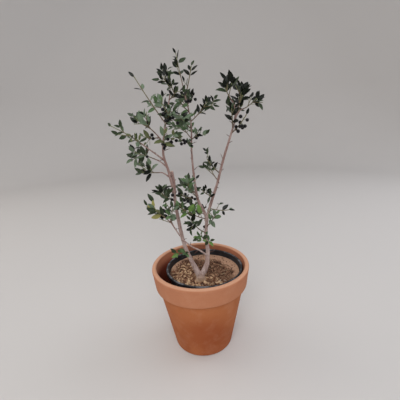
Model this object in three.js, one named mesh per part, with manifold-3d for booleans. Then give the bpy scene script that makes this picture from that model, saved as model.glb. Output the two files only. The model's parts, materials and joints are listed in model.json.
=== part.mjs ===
// A potted phillyrea: an evergreen shrub with three stems, in a black nursery pot of soil that
// stands inside a larger terracotta pot.
//
// Millimetres, +Z up. The origin is the middle of the terracotta pot's underside, at ground level.
// The front of the plant faces -Y, and +X is to the right of someone who looks at it from there.

import * as THREE from 'three';
import { mergeVertices } from 'three/addons/utils/BufferGeometryUtils.js';
import Module from 'manifold-3d';

const wasm = await Module();
wasm.setup();

// Driving dimensions

const CLEARANCE = 0.3;
const COLLAR = 2;

const TERRACOTTA_POT = {
  height: 254,
  rimRadius: 140,
  rimBand: 60,
  bandFootRadius: 133,
  shoulderRadius: 124,
  baseRadius: 86,
  lip: 12,
  wall: 9.5,
  floor: 16,
  edge: 4,
  drainHoles: 3,
  drainRadius: 7,
  drainRing: 38,
  drainSides: 12,
  sides: 32,
};

const NURSERY_POT = {
  centre: [11, 4],
  rimHeight: 241,
  rimRadius: 111,
  rimDepth: 10,
  shoulderRadius: 106,
  baseRadius: 58,
  wall: 1.6,
  sides: 24,
};

const SOIL = {
  height: 224,
  edgeDrop: 3,
  edgeWidth: 14,
};

const TRUNK = {
  centre: [-2, -43],
  flareRadius: 15.5,
  waistRadius: 11.5,
  flareHeight: 18,
  lobes: 3,
  lobeDepth: 0.16,
  lobePhase: 1,
  armFoot: 18,
  armKnee: 14,
  rings: 4,
  sides: 10,
};

// Each limb tapers from the diameter at its foot to the one at its tip and runs through a few places.
// A limb with a parent sets out from the middle of it, at a height above the ground.
const LIMBS = [
  {
    name: 'left_stem', foot: 11.5, tip: 2.6,
    through: [[-22, -42, 280], [-41, -44, 337], [-53, -52, 428], [-57, -58, 488], [-66, -61, 541],
      [-75, -62, 585], [-67, -52, 644], [-59, -30, 682], [-52, -8, 722]],
  },
  {
    name: 'centre_stem', foot: 12.5, tip: 2.8,
    through: [[19, -37, 276], [22, -30, 310], [19, -22, 350], [22, -12, 399], [2, 0, 447],
      [-5, 16, 503], [-8, 30, 571], [-6, 38, 650], [-21, 48, 737]],
  },
  {
    name: 'right_bough', parent: 'centre_stem', height: 388, foot: 8.4, tip: 4,
    through: [[34, -14, 430], [54, -24, 493], [70, -36, 556], [84, -48, 604], [96, -54, 643],
      [103, -58, 670]],
  },
  {
    name: 'thin_stem', parent: 'centre_stem', height: 292, foot: 5, tip: 2.8,
    through: [[1, -52, 319], [-20, -62, 337], [-44, -68, 364], [-66, -76, 408], [-75, -80, 421]],
  },
  {
    name: 'pruned_stub', parent: 'left_stem', height: 484, foot: 8.4, tip: 7.4,
    through: [[-56, -51, 508], [-59, -50, 538]],
  },
  {
    name: 'far_left_bough', parent: 'left_stem', height: 566, foot: 4.6, tip: 2.6,
    through: [[-89, -70, 582], [-103, -76, 595], [-126, -84, 616]],
  },
  {
    name: 'mid_left_bough', parent: 'left_stem', height: 550, foot: 4, tip: 2.6,
    through: [[-85, -52, 563], [-98, -47, 569]],
  },
  {
    name: 'low_left_bough', parent: 'left_stem', height: 524, foot: 3.8, tip: 2.6,
    through: [[-78, -70, 538], [-88, -77, 541]],
  },
  {
    name: 'high_left_bough', parent: 'left_stem', height: 602, foot: 4, tip: 2.6,
    through: [[-77, -72, 617], [-81, -79, 625], [-88, -86, 635]],
  },
  {
    name: 'crown_right_bough', parent: 'right_bough', height: 660, foot: 3.4, tip: 2.4,
    through: [[110, -54, 673], [119, -51, 677]],
  },
  {
    name: 'crown_left_bough', parent: 'right_bough', height: 646, foot: 3.6, tip: 2.6,
    through: [[98, -65, 674], [93, -70, 690], [88, -72, 698]],
  },
];

const LIMB_SIDES = 6;
const LIMB_STEPS_PER_SPAN = 2;
const LIMB_TAPER = 0.85;
const CURVE_TENSION = 0.5;

// A spray of foliage grows from the tip of its limb, or from the side of it at a height. Its stem
// makes for a point that lies at a turn (degrees round from +X), a rise (degrees above level) and a
// reach (mm) from its foot. Pairs of leaves stand on it, and on its side twigs.
const SPRAY = {
  bow: 0.12,
  internode: 10.5,
  pairs: 4,
  twigs: 2,
  twigReach: 32,
  twigPairs: 2,
  leaf: 28,
  berries: 0,
  space: 52,
};

const SPRAYS = [
  { name: 'top_shoot', limb: 'centre_stem', turn: 165, rise: 80, reach: 80, pairs: 5, twigs: 1,
    twigPairs: 1, seed: 110 },
  { name: 'top_right', limb: 'centre_stem', height: 715, turn: -40, rise: 70, reach: 74, pairs: 3,
    twigs: 0, leaf: 25, seed: 2 },
  { name: 'top_left', limb: 'left_stem', turn: -162, rise: 62, reach: 40, pairs: 4, twigs: 2, seed: 3 },
  { name: 'upper_tuft', limb: 'left_stem', height: 706, turn: -60, rise: 22, reach: 44, pairs: 3,
    leaf: 25, seed: 4 },
  { name: 'upper_mid', limb: 'centre_stem', height: 696, turn: -68, rise: 26, reach: 44, pairs: 2,
    twigs: 1, leaf: 24, berries: 5, seed: 5 },
  { name: 'upper_right', limb: 'centre_stem', height: 650, turn: -18, rise: 46, reach: 66, pairs: 4,
    twigs: 3, leaf: 26, seed: 6 },
  { name: 'upper_left_back', limb: 'left_stem', height: 680, turn: 112, rise: 26, reach: 58, pairs: 4,
    twigs: 1, seed: 7 },
  { name: 'upper_back', limb: 'centre_stem', height: 690, turn: 110, rise: 22, reach: 60, pairs: 3,
    twigs: 2, seed: 8 },
  { name: 'berry_tuft', limb: 'left_stem', height: 645, turn: -66, rise: 42, reach: 56, pairs: 4,
    berries: 4, twigs: 2, seed: 9 },
  { name: 'centre_upper', limb: 'centre_stem', height: 676, turn: -116, rise: 30, reach: 56, seed: 4 },
  { name: 'centre_front', limb: 'centre_stem', height: 632, turn: -124, rise: 38, reach: 70, pairs: 5,
    twigs: 3, leaf: 31, seed: 10 },
  { name: 'centre_right', limb: 'centre_stem', height: 604, turn: -52, rise: 34, reach: 36, pairs: 2,
    twigs: 1, leaf: 25, berries: 1, seed: 11 },
  { name: 'centre_berries', limb: 'centre_stem', height: 594, turn: -130, rise: 20, reach: 54, pairs: 2,
    twigs: 1, leaf: 23, berries: 5, seed: 12 },
  { name: 'centre_back', limb: 'centre_stem', height: 606, turn: 116, rise: 34, reach: 88, pairs: 4,
    twigs: 2, leaf: 29, twigPairs: 1, seed: 13 },
  { name: 'left_tuft', limb: 'left_stem', height: 594, turn: -78, rise: 40, reach: 60, pairs: 4, twigs: 2,
    berries: 3, seed: 14 },
  { name: 'high_left', limb: 'high_left_bough', turn: 168, rise: 36, reach: 46, pairs: 4, twigs: 3,
    leaf: 29, seed: 116 },
  { name: 'long_twig', limb: 'left_stem', height: 652, turn: -161, rise: 59, reach: 122, bow: 0.04,
    internode: 34, pairs: 3, twigs: 0, leaf: 27, seed: 16 },
  { name: 'far_left', limb: 'far_left_bough', turn: 177, rise: 32, reach: 70, internode: 24, pairs: 3,
    twigs: 1, leaf: 25, seed: 64 },
  { name: 'left_young', limb: 'far_left_bough', height: 610, turn: -127, rise: 37, reach: 42, pairs: 4,
    twigs: 1, leaf: 20, seed: 18 },
  { name: 'left_inner', limb: 'high_left_bough', height: 623, turn: 150, rise: 2, reach: 46, pairs: 3,
    twigs: 1, leaf: 24, berries: 1, seed: 19 },
  { name: 'mid_left', limb: 'mid_left_bough', turn: 168, rise: 18, reach: 52, pairs: 5, twigs: 3,
    leaf: 30, seed: 20 },
  { name: 'low_left', limb: 'low_left_bough', turn: -150, rise: 10, reach: 40, pairs: 4, twigs: 2,
    leaf: 30, seed: 21 },
  { name: 'left_lower', limb: 'left_stem', height: 462, turn: -135, rise: 36, reach: 52, pairs: 5,
    twigs: 2, leaf: 29, berries: 1, seed: 22 },
  { name: 'thin_tip', limb: 'thin_stem', turn: -173, rise: 42, reach: 60, pairs: 5, twigs: 2, seed: 23 },
  { name: 'thin_upper', limb: 'thin_stem', height: 414, turn: -70, rise: 56, reach: 58, pairs: 3,
    seed: 24 },
  { name: 'thin_back', limb: 'thin_stem', height: 392, turn: 124, rise: 46, reach: 60, pairs: 4, twigs: 1,
    seed: 25 },
  { name: 'lush', limb: 'centre_stem', height: 451, turn: -117, rise: 45, reach: 72, pairs: 5, twigs: 3,
    leaf: 29, seed: 26 },
  { name: 'lush_left', limb: 'centre_stem', height: 448, turn: -132, rise: 24, reach: 72, pairs: 4,
    twigs: 2, berries: 2, seed: 12 },
  { name: 'lush_back', limb: 'centre_stem', height: 458, turn: 105, rise: 10, reach: 84, pairs: 4,
    twigs: 2, leaf: 29, twigPairs: 1, seed: 29 },
  { name: 'lower_mid', limb: 'centre_stem', height: 394, turn: -136, rise: 34, reach: 112, internode: 12,
    pairs: 6, twigs: 3, leaf: 30, seed: 30 },
  { name: 'lower_front', limb: 'centre_stem', height: 356, turn: -119, rise: 40, reach: 104,
    internode: 12, pairs: 5, twigs: 3, seed: 31 },
  { name: 'lower_back', limb: 'centre_stem', height: 405, turn: 118, rise: 10, reach: 86, pairs: 4,
    twigs: 2, leaf: 29, twigPairs: 1, seed: 32 },
  { name: 'low_stem', limb: 'centre_stem', height: 325, turn: -110, rise: 48, reach: 70, pairs: 3,
    twigs: 1, leaf: 24, seed: 33 },
  { name: 'low_right', limb: 'centre_stem', height: 372, turn: -50, rise: 50, reach: 62, pairs: 4,
    twigs: 2, leaf: 27, seed: 34 },
  { name: 'low_right_back', limb: 'right_bough', height: 424, turn: 18, rise: -13, reach: 60,
    internode: 22, pairs: 2, twigs: 1, leaf: 26, seed: 35 },
  { name: 'inner_upper', limb: 'right_bough', height: 522, turn: -143, rise: 46, reach: 58, pairs: 3,
    twigReach: 38, leaf: 22, seed: 36 },
  { name: 'inner_lower', limb: 'right_bough', height: 458, turn: -136, rise: 32, reach: 48, pairs: 3,
    leaf: 21, seed: 37 },
  { name: 'inner_back', limb: 'right_bough', height: 502, turn: 106, rise: 24, reach: 74, pairs: 3,
    leaf: 27, twigs: 1, seed: 38 },
  { name: 'crown_left', limb: 'crown_left_bough', turn: -160, rise: 60, reach: 28, pairs: 4, twigs: 2,
    leaf: 33, seed: 39 },
  { name: 'crown_mid', limb: 'right_bough', turn: -5, rise: 74, reach: 50, pairs: 5, twigs: 3, leaf: 30,
    seed: 106 },
  { name: 'crown_back', limb: 'right_bough', height: 655, turn: 72, rise: 42, reach: 88, pairs: 4,
    twigs: 2, leaf: 29, seed: 41 },
  { name: 'crown_right', limb: 'crown_right_bough', turn: 0, rise: 36, reach: 36, pairs: 4, twigs: 3,
    leaf: 27, seed: 130 },
  { name: 'crown_front', limb: 'right_bough', height: 634, turn: -100, rise: 48, reach: 60, pairs: 4,
    twigs: 1, leaf: 27, seed: 43 },
  { name: 'crown_berries', limb: 'right_bough', height: 622, turn: -42, rise: 45, reach: 60, pairs: 1,
    twigs: 0, leaf: 22, berries: 4, seed: 44 },
  { name: 'low_sprig', limb: 'left_stem', height: 316, turn: -136, rise: 14, reach: 48, pairs: 3,
    twigs: 1, leaf: 24, seed: 45 },
];

// Where most of the light comes from: the open side in front, and the sky. Leaves turn their faces to it.
const LIGHT = new THREE.Vector3(-0.1, -0.8, 0.6);

const GROWTH = {
  stemRadius: 1.5,
  stemSteps: 3,
  stemBend: 0.35,
  tipRadius: 0.8,
  bareStem: 15,
  bareTwig: 8,
  twigRadius: 1.1,
  twigSides: 3,
  firstTwig: 0.32,
  twigStretch: 0.42,
  twigShrink: 0.12,
  firstTwigReach: 1.1,
  lift: 0.15,
  spiral: 2.4,
  tipPair: 0.1,
  facing: 0.4,
  leafThickness: 1,
  leafWidth: 0.45,
  leafRidge: 0.5,
  leafNeck: 0.3,
  leafSpacing: 4.5,
  twigSpacing: 2.5,
  berryRadius: 4,
  berrySink: 0.7,
  berryStep: 6.6,
  berrySpacing: 8.2,
  limbClearance: 0.8,
  neighbourClearance: 1.2,
};

// The pairs of leaves from a twig's tip down: how far each leans out (radians), and its share of full size.
const PAIR_LEANS = [0.45, 0.8, 0.98];
const PAIR_SIZES = [0.66, 0.88, 1];

// A leaf's outline, from its root round to its root again: the share of its length, and of its half width.
const LEAF_OUTLINE = [[0, 0], [0.32, 1], [0.74, 0.8], [1, 0], [0.74, -0.8], [0.32, -1]];

// The least and the most that chance gives each thing that it varies.
const CHANCE = {
  internode: [0.85, 1.15],
  bearing: [-0.3, 0.3],
  lean: [-0.15, 0.2],
  leafLength: [0.84, 1.12],
  roll: [-0.5, 0.5],
  twigPlace: [-0.04, 0.04],
  twigBearing: [-0.5, 0.5],
  twigReach: [0.85, 1.15],
  twigLean: [0.75, 1.05],
  berryBearing: [-0.2, 0.2],
  berrySize: [0.9, 1.1],
};

const FINISHES = {
  terracotta: { color: 0xa56b4d, roughness: 0.85 },
  nurseryPlastic: { color: 0x2b2c31, roughness: 0.5 },
  soil: { color: 0x7c5e4e, roughness: 1 },
  bark: { color: 0x988982, roughness: 0.9 },
  foliage: { color: 0x3f5232, roughness: 0.6 },
};

// Solids: closed triangle meshes, and the joining and cutting of them

/** Turn a closed geometry into a solid that can be joined or cut. */
function solidFrom(geometry) {
  geometry.deleteAttribute('normal');
  geometry.deleteAttribute('uv');
  const merged = mergeVertices(geometry, 1e-4);
  const index = merged.index.array;
  const corners = [];
  for (let i = 0; i < index.length; i += 3) {
    const [a, b, c] = [index[i], index[i + 1], index[i + 2]];
    if (a !== b && b !== c && c !== a) corners.push(a, b, c);
  }
  return new wasm.Manifold(new wasm.Mesh({
    numProp: 3,
    vertProperties: new Float32Array(merged.attributes.position.array),
    triVerts: new Uint32Array(corners),
  }));
}

/** Turn a solid back into a geometry. */
function geometryFrom(solid) {
  const mesh = solid.getMesh();
  const geometry = new THREE.BufferGeometry();
  geometry.setAttribute('position', new THREE.BufferAttribute(new Float32Array(mesh.vertProperties), 3));
  geometry.setIndex(new THREE.BufferAttribute(new Uint32Array(mesh.triVerts), 1));
  geometry.computeVertexNormals();
  return geometry;
}

/** Join solids and keep the largest body, without the scraps that touch nothing. */
function joined(solids) {
  const whole = solids.reduce((sum, solid) => sum.add(solid));
  const bodies = whole.decompose();
  return bodies.reduce((best, body) => (body.volume() > best.volume() ? body : best));
}

/** A geometry from its corners and the triangles between them. */
function facets(corners, triangles) {
  const geometry = new THREE.BufferGeometry();
  geometry.setAttribute('position', new THREE.Float32BufferAttribute(corners.flatMap((p) => p.toArray()), 3));
  geometry.setIndex(triangles.flat());
  return geometry;
}

/** Skin a stack of rings that all have the same number of corners, and close both ends flat. */
function skinned(rings) {
  const sides = rings[0].length;
  const triangles = [];
  for (let ring = 0; ring + 1 < rings.length; ring += 1) {
    for (let side = 0; side < sides; side += 1) {
      const next = (side + 1) % sides;
      const [a, b] = [ring * sides + side, ring * sides + next];
      triangles.push([a, b, b + sides], [a, b + sides, a + sides]);
    }
  }
  const last = (rings.length - 1) * sides;
  for (let side = 1; side + 1 < sides; side += 1) {
    triangles.push([0, side + 1, side], [last, last + side, last + side + 1]);
  }
  return facets(rings.flat(), triangles);
}

/** A profile of [radius, height] corners turned round the upright axis. */
function turned(profile, sides) {
  const points = profile.map(([radius, height]) => new THREE.Vector2(radius, height));
  return new THREE.LatheGeometry(points, sides).rotateX(Math.PI / 2);
}

/** A direction square to another one, level where that is possible. */
function squareTo(direction) {
  const upright = Math.abs(direction.z) > 0.95;
  const helper = upright ? new THREE.Vector3(1, 0, 0) : new THREE.Vector3(0, 0, 1);
  return helper.cross(direction).normalize();
}

/** A tapering tube along a line of points, with rings square to it and flat ends. */
function taperedTube(line, radii, sides) {
  let across = squareTo(line[1].clone().sub(line[0]).normalize());
  const rings = line.map((point, i) => {
    const before = line[Math.max(i - 1, 0)];
    const after = line[Math.min(i + 1, line.length - 1)];
    const along = after.clone().sub(before).normalize();
    across = across.clone().addScaledVector(along, -across.dot(along)).normalize();
    const up = along.clone().cross(across);
    return Array.from({ length: sides }, (_, side) => {
      const angle = (2 * Math.PI * side) / sides;
      return point.clone()
        .addScaledVector(across, radii[i] * Math.cos(angle))
        .addScaledVector(up, radii[i] * Math.sin(angle));
    });
  });
  return solidFrom(skinned(rings));
}

// The pots and the soil

/** The terracotta pot: a tapering body under a thick rim band, with drain holes in its floor. */
function terracottaPot() {
  const pot = TERRACOTTA_POT;
  const bandFoot = pot.height - pot.rimBand;
  const innerSlope = (pot.shoulderRadius - pot.baseRadius) / bandFoot;
  const innerRadius = (height) => pot.baseRadius - pot.wall + innerSlope * height;
  const body = solidFrom(turned([
    [0, 0],
    [pot.baseRadius - pot.edge, 0],
    [pot.baseRadius, pot.edge],
    [pot.shoulderRadius, bandFoot],
    [pot.bandFootRadius - pot.edge / 2, bandFoot],
    [pot.bandFootRadius, bandFoot + pot.edge],
    [pot.rimRadius, pot.height - pot.edge],
    [pot.rimRadius - pot.edge, pot.height],
    [pot.rimRadius - pot.lip + pot.edge / 2, pot.height],
    [pot.rimRadius - pot.lip, pot.height - pot.edge],
    [innerRadius(pot.floor + pot.edge), pot.floor + pot.edge],
    [innerRadius(pot.floor) - pot.edge, pot.floor],
    [0, pot.floor],
  ], pot.sides));
  let holed = body;
  for (let hole = 0; hole < pot.drainHoles; hole += 1) {
    const angle = Math.PI / 2 + (2 * Math.PI * hole) / pot.drainHoles;
    const bore = new THREE.CylinderGeometry(pot.drainRadius, pot.drainRadius, 3 * pot.floor, pot.drainSides);
    bore.rotateX(Math.PI / 2);
    bore.translate(pot.drainRing * Math.cos(angle), pot.drainRing * Math.sin(angle), 0);
    holed = holed.subtract(solidFrom(bore));
  }
  return holed;
}

/** The radius of the nursery pot's outside at a height above the ground. */
function nurseryRadius(height) {
  const pot = NURSERY_POT;
  const foot = TERRACOTTA_POT.floor + CLEARANCE;
  const share = (height - foot) / (pot.rimHeight - pot.rimDepth - foot);
  return pot.baseRadius + (pot.shoulderRadius - pot.baseRadius) * share;
}

/** The thin black nursery pot, which stands on the terracotta pot's floor a little off its middle. */
function nurseryPot() {
  const pot = NURSERY_POT;
  const foot = TERRACOTTA_POT.floor + CLEARANCE;
  const shoulder = pot.rimHeight - pot.rimDepth;
  const profile = [
    [0, foot],
    [pot.baseRadius, foot],
    [pot.shoulderRadius, shoulder],
    [pot.rimRadius, shoulder],
    [pot.rimRadius, pot.rimHeight - pot.wall],
    [pot.rimRadius - pot.wall, pot.rimHeight],
    [pot.shoulderRadius - pot.wall, pot.rimHeight],
    [pot.shoulderRadius - pot.wall, shoulder],
    [pot.baseRadius - pot.wall, foot + pot.wall],
    [0, foot + pot.wall],
  ];
  return solidFrom(turned(profile, pot.sides).translate(...pot.centre, 0));
}

/** The soil that fills the nursery pot, level on top and a little lower at its edge. */
function soil() {
  const foot = TERRACOTTA_POT.floor + NURSERY_POT.wall + 2 * CLEARANCE;
  const inner = (height) => nurseryRadius(height) - NURSERY_POT.wall - 3 * CLEARANCE;
  const edgeHeight = SOIL.height - SOIL.edgeDrop;
  const profile = [
    [0, foot],
    [inner(foot), foot],
    [inner(edgeHeight), edgeHeight],
    [inner(edgeHeight) - SOIL.edgeWidth, SOIL.height],
    [0, SOIL.height],
  ];
  return solidFrom(turned(profile, NURSERY_POT.sides).translate(...NURSERY_POT.centre, 0));
}

// The trunk and the limbs

/** The points of a limb's middle line, and its radius at each of them. */
function limbLine(limb, limbs) {
  const places = limb.through.map((place) => new THREE.Vector3(...place));
  if (limb.parent) places.unshift(atHeight(limbs.get(limb.parent), limb.height).point);
  const curve = new THREE.CatmullRomCurve3(places, false, 'catmullrom', CURVE_TENSION);
  const steps = LIMB_STEPS_PER_SPAN * (places.length - 1);
  const points = curve.getPoints(steps);
  const radii = points.map((_, i) => {
    const share = (i / steps) ** LIMB_TAPER;
    return (limb.foot + (limb.tip - limb.foot) * share) / 2;
  });
  return { name: limb.name, parent: limb.parent, points, radii };
}

/** Where a limb's middle line first passes a height, and its radius there. */
function atHeight(line, height) {
  const after = line.points.findIndex((point) => point.z >= height);
  const [low, high] = [line.points[after - 1], line.points[after]];
  const share = (height - low.z) / (high.z - low.z);
  return {
    point: low.clone().lerp(high, share),
    radius: line.radii[after - 1] + (line.radii[after] - line.radii[after - 1]) * share,
  };
}

/** The solid of a limb, a little thicker where something else is to be cut clear of it. */
function limbSolid(line, extra = 0) {
  return taperedTube(line.points, line.radii.map((radius) => radius + extra), LIMB_SIDES);
}

/** The trunk: a lobed root flare with a flat foot, and an arm towards each of the two main stems. */
function trunk(limbs) {
  const [x, y] = TRUNK.centre;
  const foot = SOIL.height + CLEARANCE;
  const rings = Array.from({ length: TRUNK.rings }, (_, ring) => {
    const share = ring / (TRUNK.rings - 1);
    const radius = TRUNK.waistRadius + (TRUNK.flareRadius - TRUNK.waistRadius) * (1 - share) ** 2;
    return Array.from({ length: TRUNK.sides }, (__, side) => {
      const angle = (2 * Math.PI * side) / TRUNK.sides;
      const lobe = 1 + TRUNK.lobeDepth * (1 - share) * Math.cos(TRUNK.lobes * angle + TRUNK.lobePhase);
      return new THREE.Vector3(
        x + radius * lobe * Math.cos(angle),
        y + radius * lobe * Math.sin(angle),
        foot + TRUNK.flareHeight * share,
      );
    });
  });
  const arms = ['left_stem', 'centre_stem'].map((name) => {
    const line = limbs.get(name);
    const along = line.points[1].clone().sub(line.points[0]).normalize();
    const end = line.points[0].clone().addScaledVector(along, -CLEARANCE);
    const collar = end.clone().addScaledVector(along, -COLLAR);
    const knee = end.clone().addScaledVector(along, -TRUNK.armKnee);
    const root = new THREE.Vector3(x, y, foot + TRUNK.flareHeight / 2);
    const points = [...new THREE.QuadraticBezierCurve3(root, knee, collar).getPoints(TRUNK.rings - 1), end];
    const radii = points.map((_, i) => {
      const share = i / (points.length - 1);
      return TRUNK.armFoot / 2 + (line.radii[0] - TRUNK.armFoot / 2) * share;
    });
    return taperedTube(points, radii, LIMB_SIDES);
  });
  return joined([solidFrom(skinned(rings)), ...arms]);
}

// The foliage

/** A seeded row of numbers from 0 to 1, the same on every machine. */
class Seeded {
  constructor(seed) {
    this.state = seed >>> 0;
    for (let skip = 0; skip < 3; skip += 1) this.next();
  }

  next() {
    this.state = (Math.imul(this.state, 1664525) + 1013904223) >>> 0;
    return this.state / 4294967296;
  }

  between(low, high) {
    return low + (high - low) * this.next();
  }
}

/** A unit direction from its turn round from +X and its rise above level, in degrees. */
function heading(turn, rise) {
  const [t, r] = [THREE.MathUtils.degToRad(turn), THREE.MathUtils.degToRad(rise)];
  return new THREE.Vector3(Math.cos(r) * Math.cos(t), Math.cos(r) * Math.sin(t), Math.sin(r));
}

/** A direction that leans away from an axis by an angle, on the side that a bearing round it gives. */
function leaning(axis, bearing, angle) {
  const across = squareTo(axis);
  const up = axis.clone().cross(across);
  const side = across.multiplyScalar(Math.cos(bearing)).addScaledVector(up, Math.sin(bearing));
  return axis.clone().multiplyScalar(Math.cos(angle)).addScaledVector(side, Math.sin(angle));
}

/** The main stem of a spray, as a curve from the limb that carries it. */
function sprayStem(spray, limbs) {
  const limb = limbs.get(spray.limb);
  const aim = heading(spray.turn, spray.rise);
  if (spray.height) {
    const foot = atHeight(limb, spray.height).point;
    const tip = foot.clone().addScaledVector(aim, spray.reach);
    const droop = new THREE.Vector3(0, 0, -1).addScaledVector(aim, aim.z);
    const middle = foot.clone().lerp(tip, 0.5).addScaledVector(droop, spray.bow * spray.reach);
    return { curve: new THREE.QuadraticBezierCurve3(foot, middle, tip), radius: GROWTH.stemRadius };
  }
  const end = limb.points.length - 1;
  const along = limb.points[end].clone().sub(limb.points[end - 1]).normalize();
  const collar = limb.points[end].clone().addScaledVector(along, CLEARANCE);
  const foot = collar.clone().addScaledVector(along, COLLAR);
  const middle = foot.clone().addScaledVector(along, GROWTH.stemBend * spray.reach);
  const tip = foot.clone().addScaledVector(aim, spray.reach);
  return { curve: new THREE.QuadraticBezierCurve3(foot, middle, tip), radius: limb.radii[end], collar };
}

/** The pairs of leaves on a twig, from its tip down, each pair square to the one above it. */
function leafPairs(twig, pairs, spray, random) {
  const leaves = [];
  const length = twig.curve.getLength();
  const firstBearing = random.between(0, Math.PI);
  for (let pair = 0; pair < pairs; pair += 1) {
    const fromTip = GROWTH.tipPair + pair * random.between(...CHANCE.internode);
    const share = 1 - fromTip * (spray.internode / length);
    const kind = Math.min(pair, PAIR_LEANS.length - 1);
    for (const side of [0, 1]) {
      const quarterTurn = (pair % 2) * (Math.PI / 2);
      const bearing = firstBearing + quarterTurn + side * Math.PI + random.between(...CHANCE.bearing);
      const lean = PAIR_LEANS[kind] + random.between(...CHANCE.lean);
      const leafLength = spray.leaf * PAIR_SIZES[kind] * random.between(...CHANCE.leafLength);
      const roll = random.between(...CHANCE.roll);
      if (share * length < twig.bare) continue;
      const root = twig.curve.getPoint(share);
      const axis = twig.curve.getTangent(share);
      const direction = leaning(axis, bearing, lean);
      const lit = axis.multiplyScalar(GROWTH.facing).add(LIGHT);
      const blade = direction.clone().cross(lit).normalize().applyAxisAngle(direction, roll);
      leaves.push({ root, direction, blade, length: leafLength });
    }
  }
  return leaves;
}

/** Everything that the growing rule puts on one spray, before what has no room is left out. */
function grown(spray, limbs) {
  const random = new Seeded(spray.seed);
  const { curve, radius, collar } = sprayStem(spray, limbs);
  const stem = { curve, radius, collar, bare: GROWTH.bareStem };
  const leaves = leafPairs(stem, spray.pairs, spray, random);
  const twigs = [];
  for (let i = 0; i < spray.twigs; i += 1) {
    const place = GROWTH.firstTwig + (GROWTH.twigStretch * i) / Math.max(spray.twigs - 1, 1);
    const share = place + random.between(...CHANCE.twigPlace);
    const axis = curve.getTangent(share);
    const bearing = i * GROWTH.spiral + random.between(...CHANCE.twigBearing);
    const fullReach = spray.twigReach * (GROWTH.firstTwigReach - GROWTH.twigShrink * i);
    const reach = fullReach * random.between(...CHANCE.twigReach);
    const foot = curve.getPoint(share);
    const aim = leaning(axis, bearing, random.between(...CHANCE.twigLean));
    const lifted = aim.add(new THREE.Vector3(0, 0, GROWTH.lift)).normalize();
    const tip = foot.clone().addScaledVector(lifted, reach);
    const twig = { curve: new THREE.LineCurve3(foot, tip), radius: GROWTH.twigRadius, bare: GROWTH.bareTwig };
    twig.leaves = leafPairs(twig, spray.twigPairs, spray, random);
    twigs.push(twig);
  }
  const berries = [];
  for (let i = 0; i < spray.berries; i += 1) {
    const share = (GROWTH.bareStem + i * GROWTH.berryStep) / spray.reach;
    const bearing = i * GROWTH.spiral + random.between(...CHANCE.berryBearing);
    const berryRadius = GROWTH.berryRadius * random.between(...CHANCE.berrySize);
    const side = leaning(curve.getTangent(share), bearing, Math.PI / 2);
    const centre = curve.getPoint(share).addScaledVector(side, berryRadius - GROWTH.berrySink);
    berries.push({ centre, radius: berryRadius });
  }
  return { spray, stem, leaves, twigs, berries };
}

/** The shortest distance between two straight stretches. */
function stretchDistance(a, b, c, d) {
  const u = b.clone().sub(a);
  const v = d.clone().sub(c);
  const w = a.clone().sub(c);
  const [uu, uv, vv, uw, vw] = [u.dot(u), u.dot(v), v.dot(v), u.dot(w), v.dot(w)];
  const spread = uu * vv - uv * uv;
  const clamp = (value) => Math.min(Math.max(value, 0), 1);
  let s = spread > 1e-9 ? clamp((uv * vw - vv * uw) / spread) : 0;
  const t = vv > 1e-9 ? clamp((uv * s + vw) / vv) : 0;
  s = uu > 1e-9 ? clamp((uv * t - uw) / uu) : 0;
  return a.clone().addScaledVector(u, s).distanceTo(c.clone().addScaledVector(v, t));
}

/** Whether a straight stretch with a half width keeps clear of every limb. */
function clearOfLimbs(from, to, halfWidth, limbs) {
  for (const { points, radii } of limbs.values()) {
    for (let i = 0; i + 1 < points.length; i += 1) {
      const room = Math.max(radii[i], radii[i + 1]) + halfWidth + GROWTH.limbClearance;
      if (stretchDistance(from, to, points[i], points[i + 1]) < room) return false;
    }
  }
  return true;
}

/** How far a point lies from the middle line of a spray's stem. */
function distanceToStem(point, stemLine) {
  let nearest = Infinity;
  for (let i = 0; i + 1 < stemLine.length; i += 1) {
    nearest = Math.min(nearest, stretchDistance(point, point, stemLine[i], stemLine[i + 1]));
  }
  return nearest;
}

/** Whether points stay inside a spray's own space: near its stem, and nearer to it than to another. */
function insideSpace(points, spray, stemLines) {
  return points.every((point) => {
    const own = distanceToStem(point, stemLines.get(spray.name));
    if (own > spray.space) return false;
    for (const [name, line] of stemLines) {
      if (name === spray.name) continue;
      if (distanceToStem(point, line) < own + GROWTH.neighbourClearance) return false;
    }
    return true;
  });
}

/** The corners of a leaf's outline, from its root round to its root again. */
function leafOutline(leaf) {
  const halfWidth = (GROWTH.leafWidth * leaf.length) / 2;
  return LEAF_OUTLINE.map(([along, across]) => leaf.root.clone()
    .addScaledVector(leaf.direction, along * leaf.length)
    .addScaledVector(leaf.blade, across * halfWidth));
}

/** The solid of a leaf: a thin blade with a flat underside and a low ridge on top. */
function leafSolid(leaf) {
  const outline = leafOutline(leaf);
  const face = leaf.blade.clone().cross(leaf.direction);
  const ridge = leaf.root.clone()
    .addScaledVector(leaf.direction, GROWTH.leafRidge * leaf.length)
    .addScaledVector(face, GROWTH.leafThickness);
  const upper = outline.map((_, i) => [outline.length, i, (i + 1) % outline.length]);
  const under = [[0, 5, 1], [1, 5, 4], [1, 4, 2], [2, 4, 3]];
  return solidFrom(facets([...outline, ridge], [...upper, ...under]));
}

/** The solid of a twig, three-sided, which tapers from its foot to its tip. */
function twigSolid(twig, steps) {
  const points = twig.curve.getPoints(steps);
  const radii = points.map((_, i) => twig.radius + (GROWTH.tipRadius - twig.radius) * (i / steps));
  if (!twig.collar) return taperedTube(points, radii, GROWTH.twigSides);
  return taperedTube([twig.collar, ...points], [twig.radius, ...radii], GROWTH.twigSides);
}

/** The solid of a berry, sunk a little into its twig. */
function berrySolid(berry) {
  const geometry = new THREE.IcosahedronGeometry(berry.radius, 0);
  geometry.translate(...berry.centre.toArray());
  return solidFrom(geometry);
}

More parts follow.
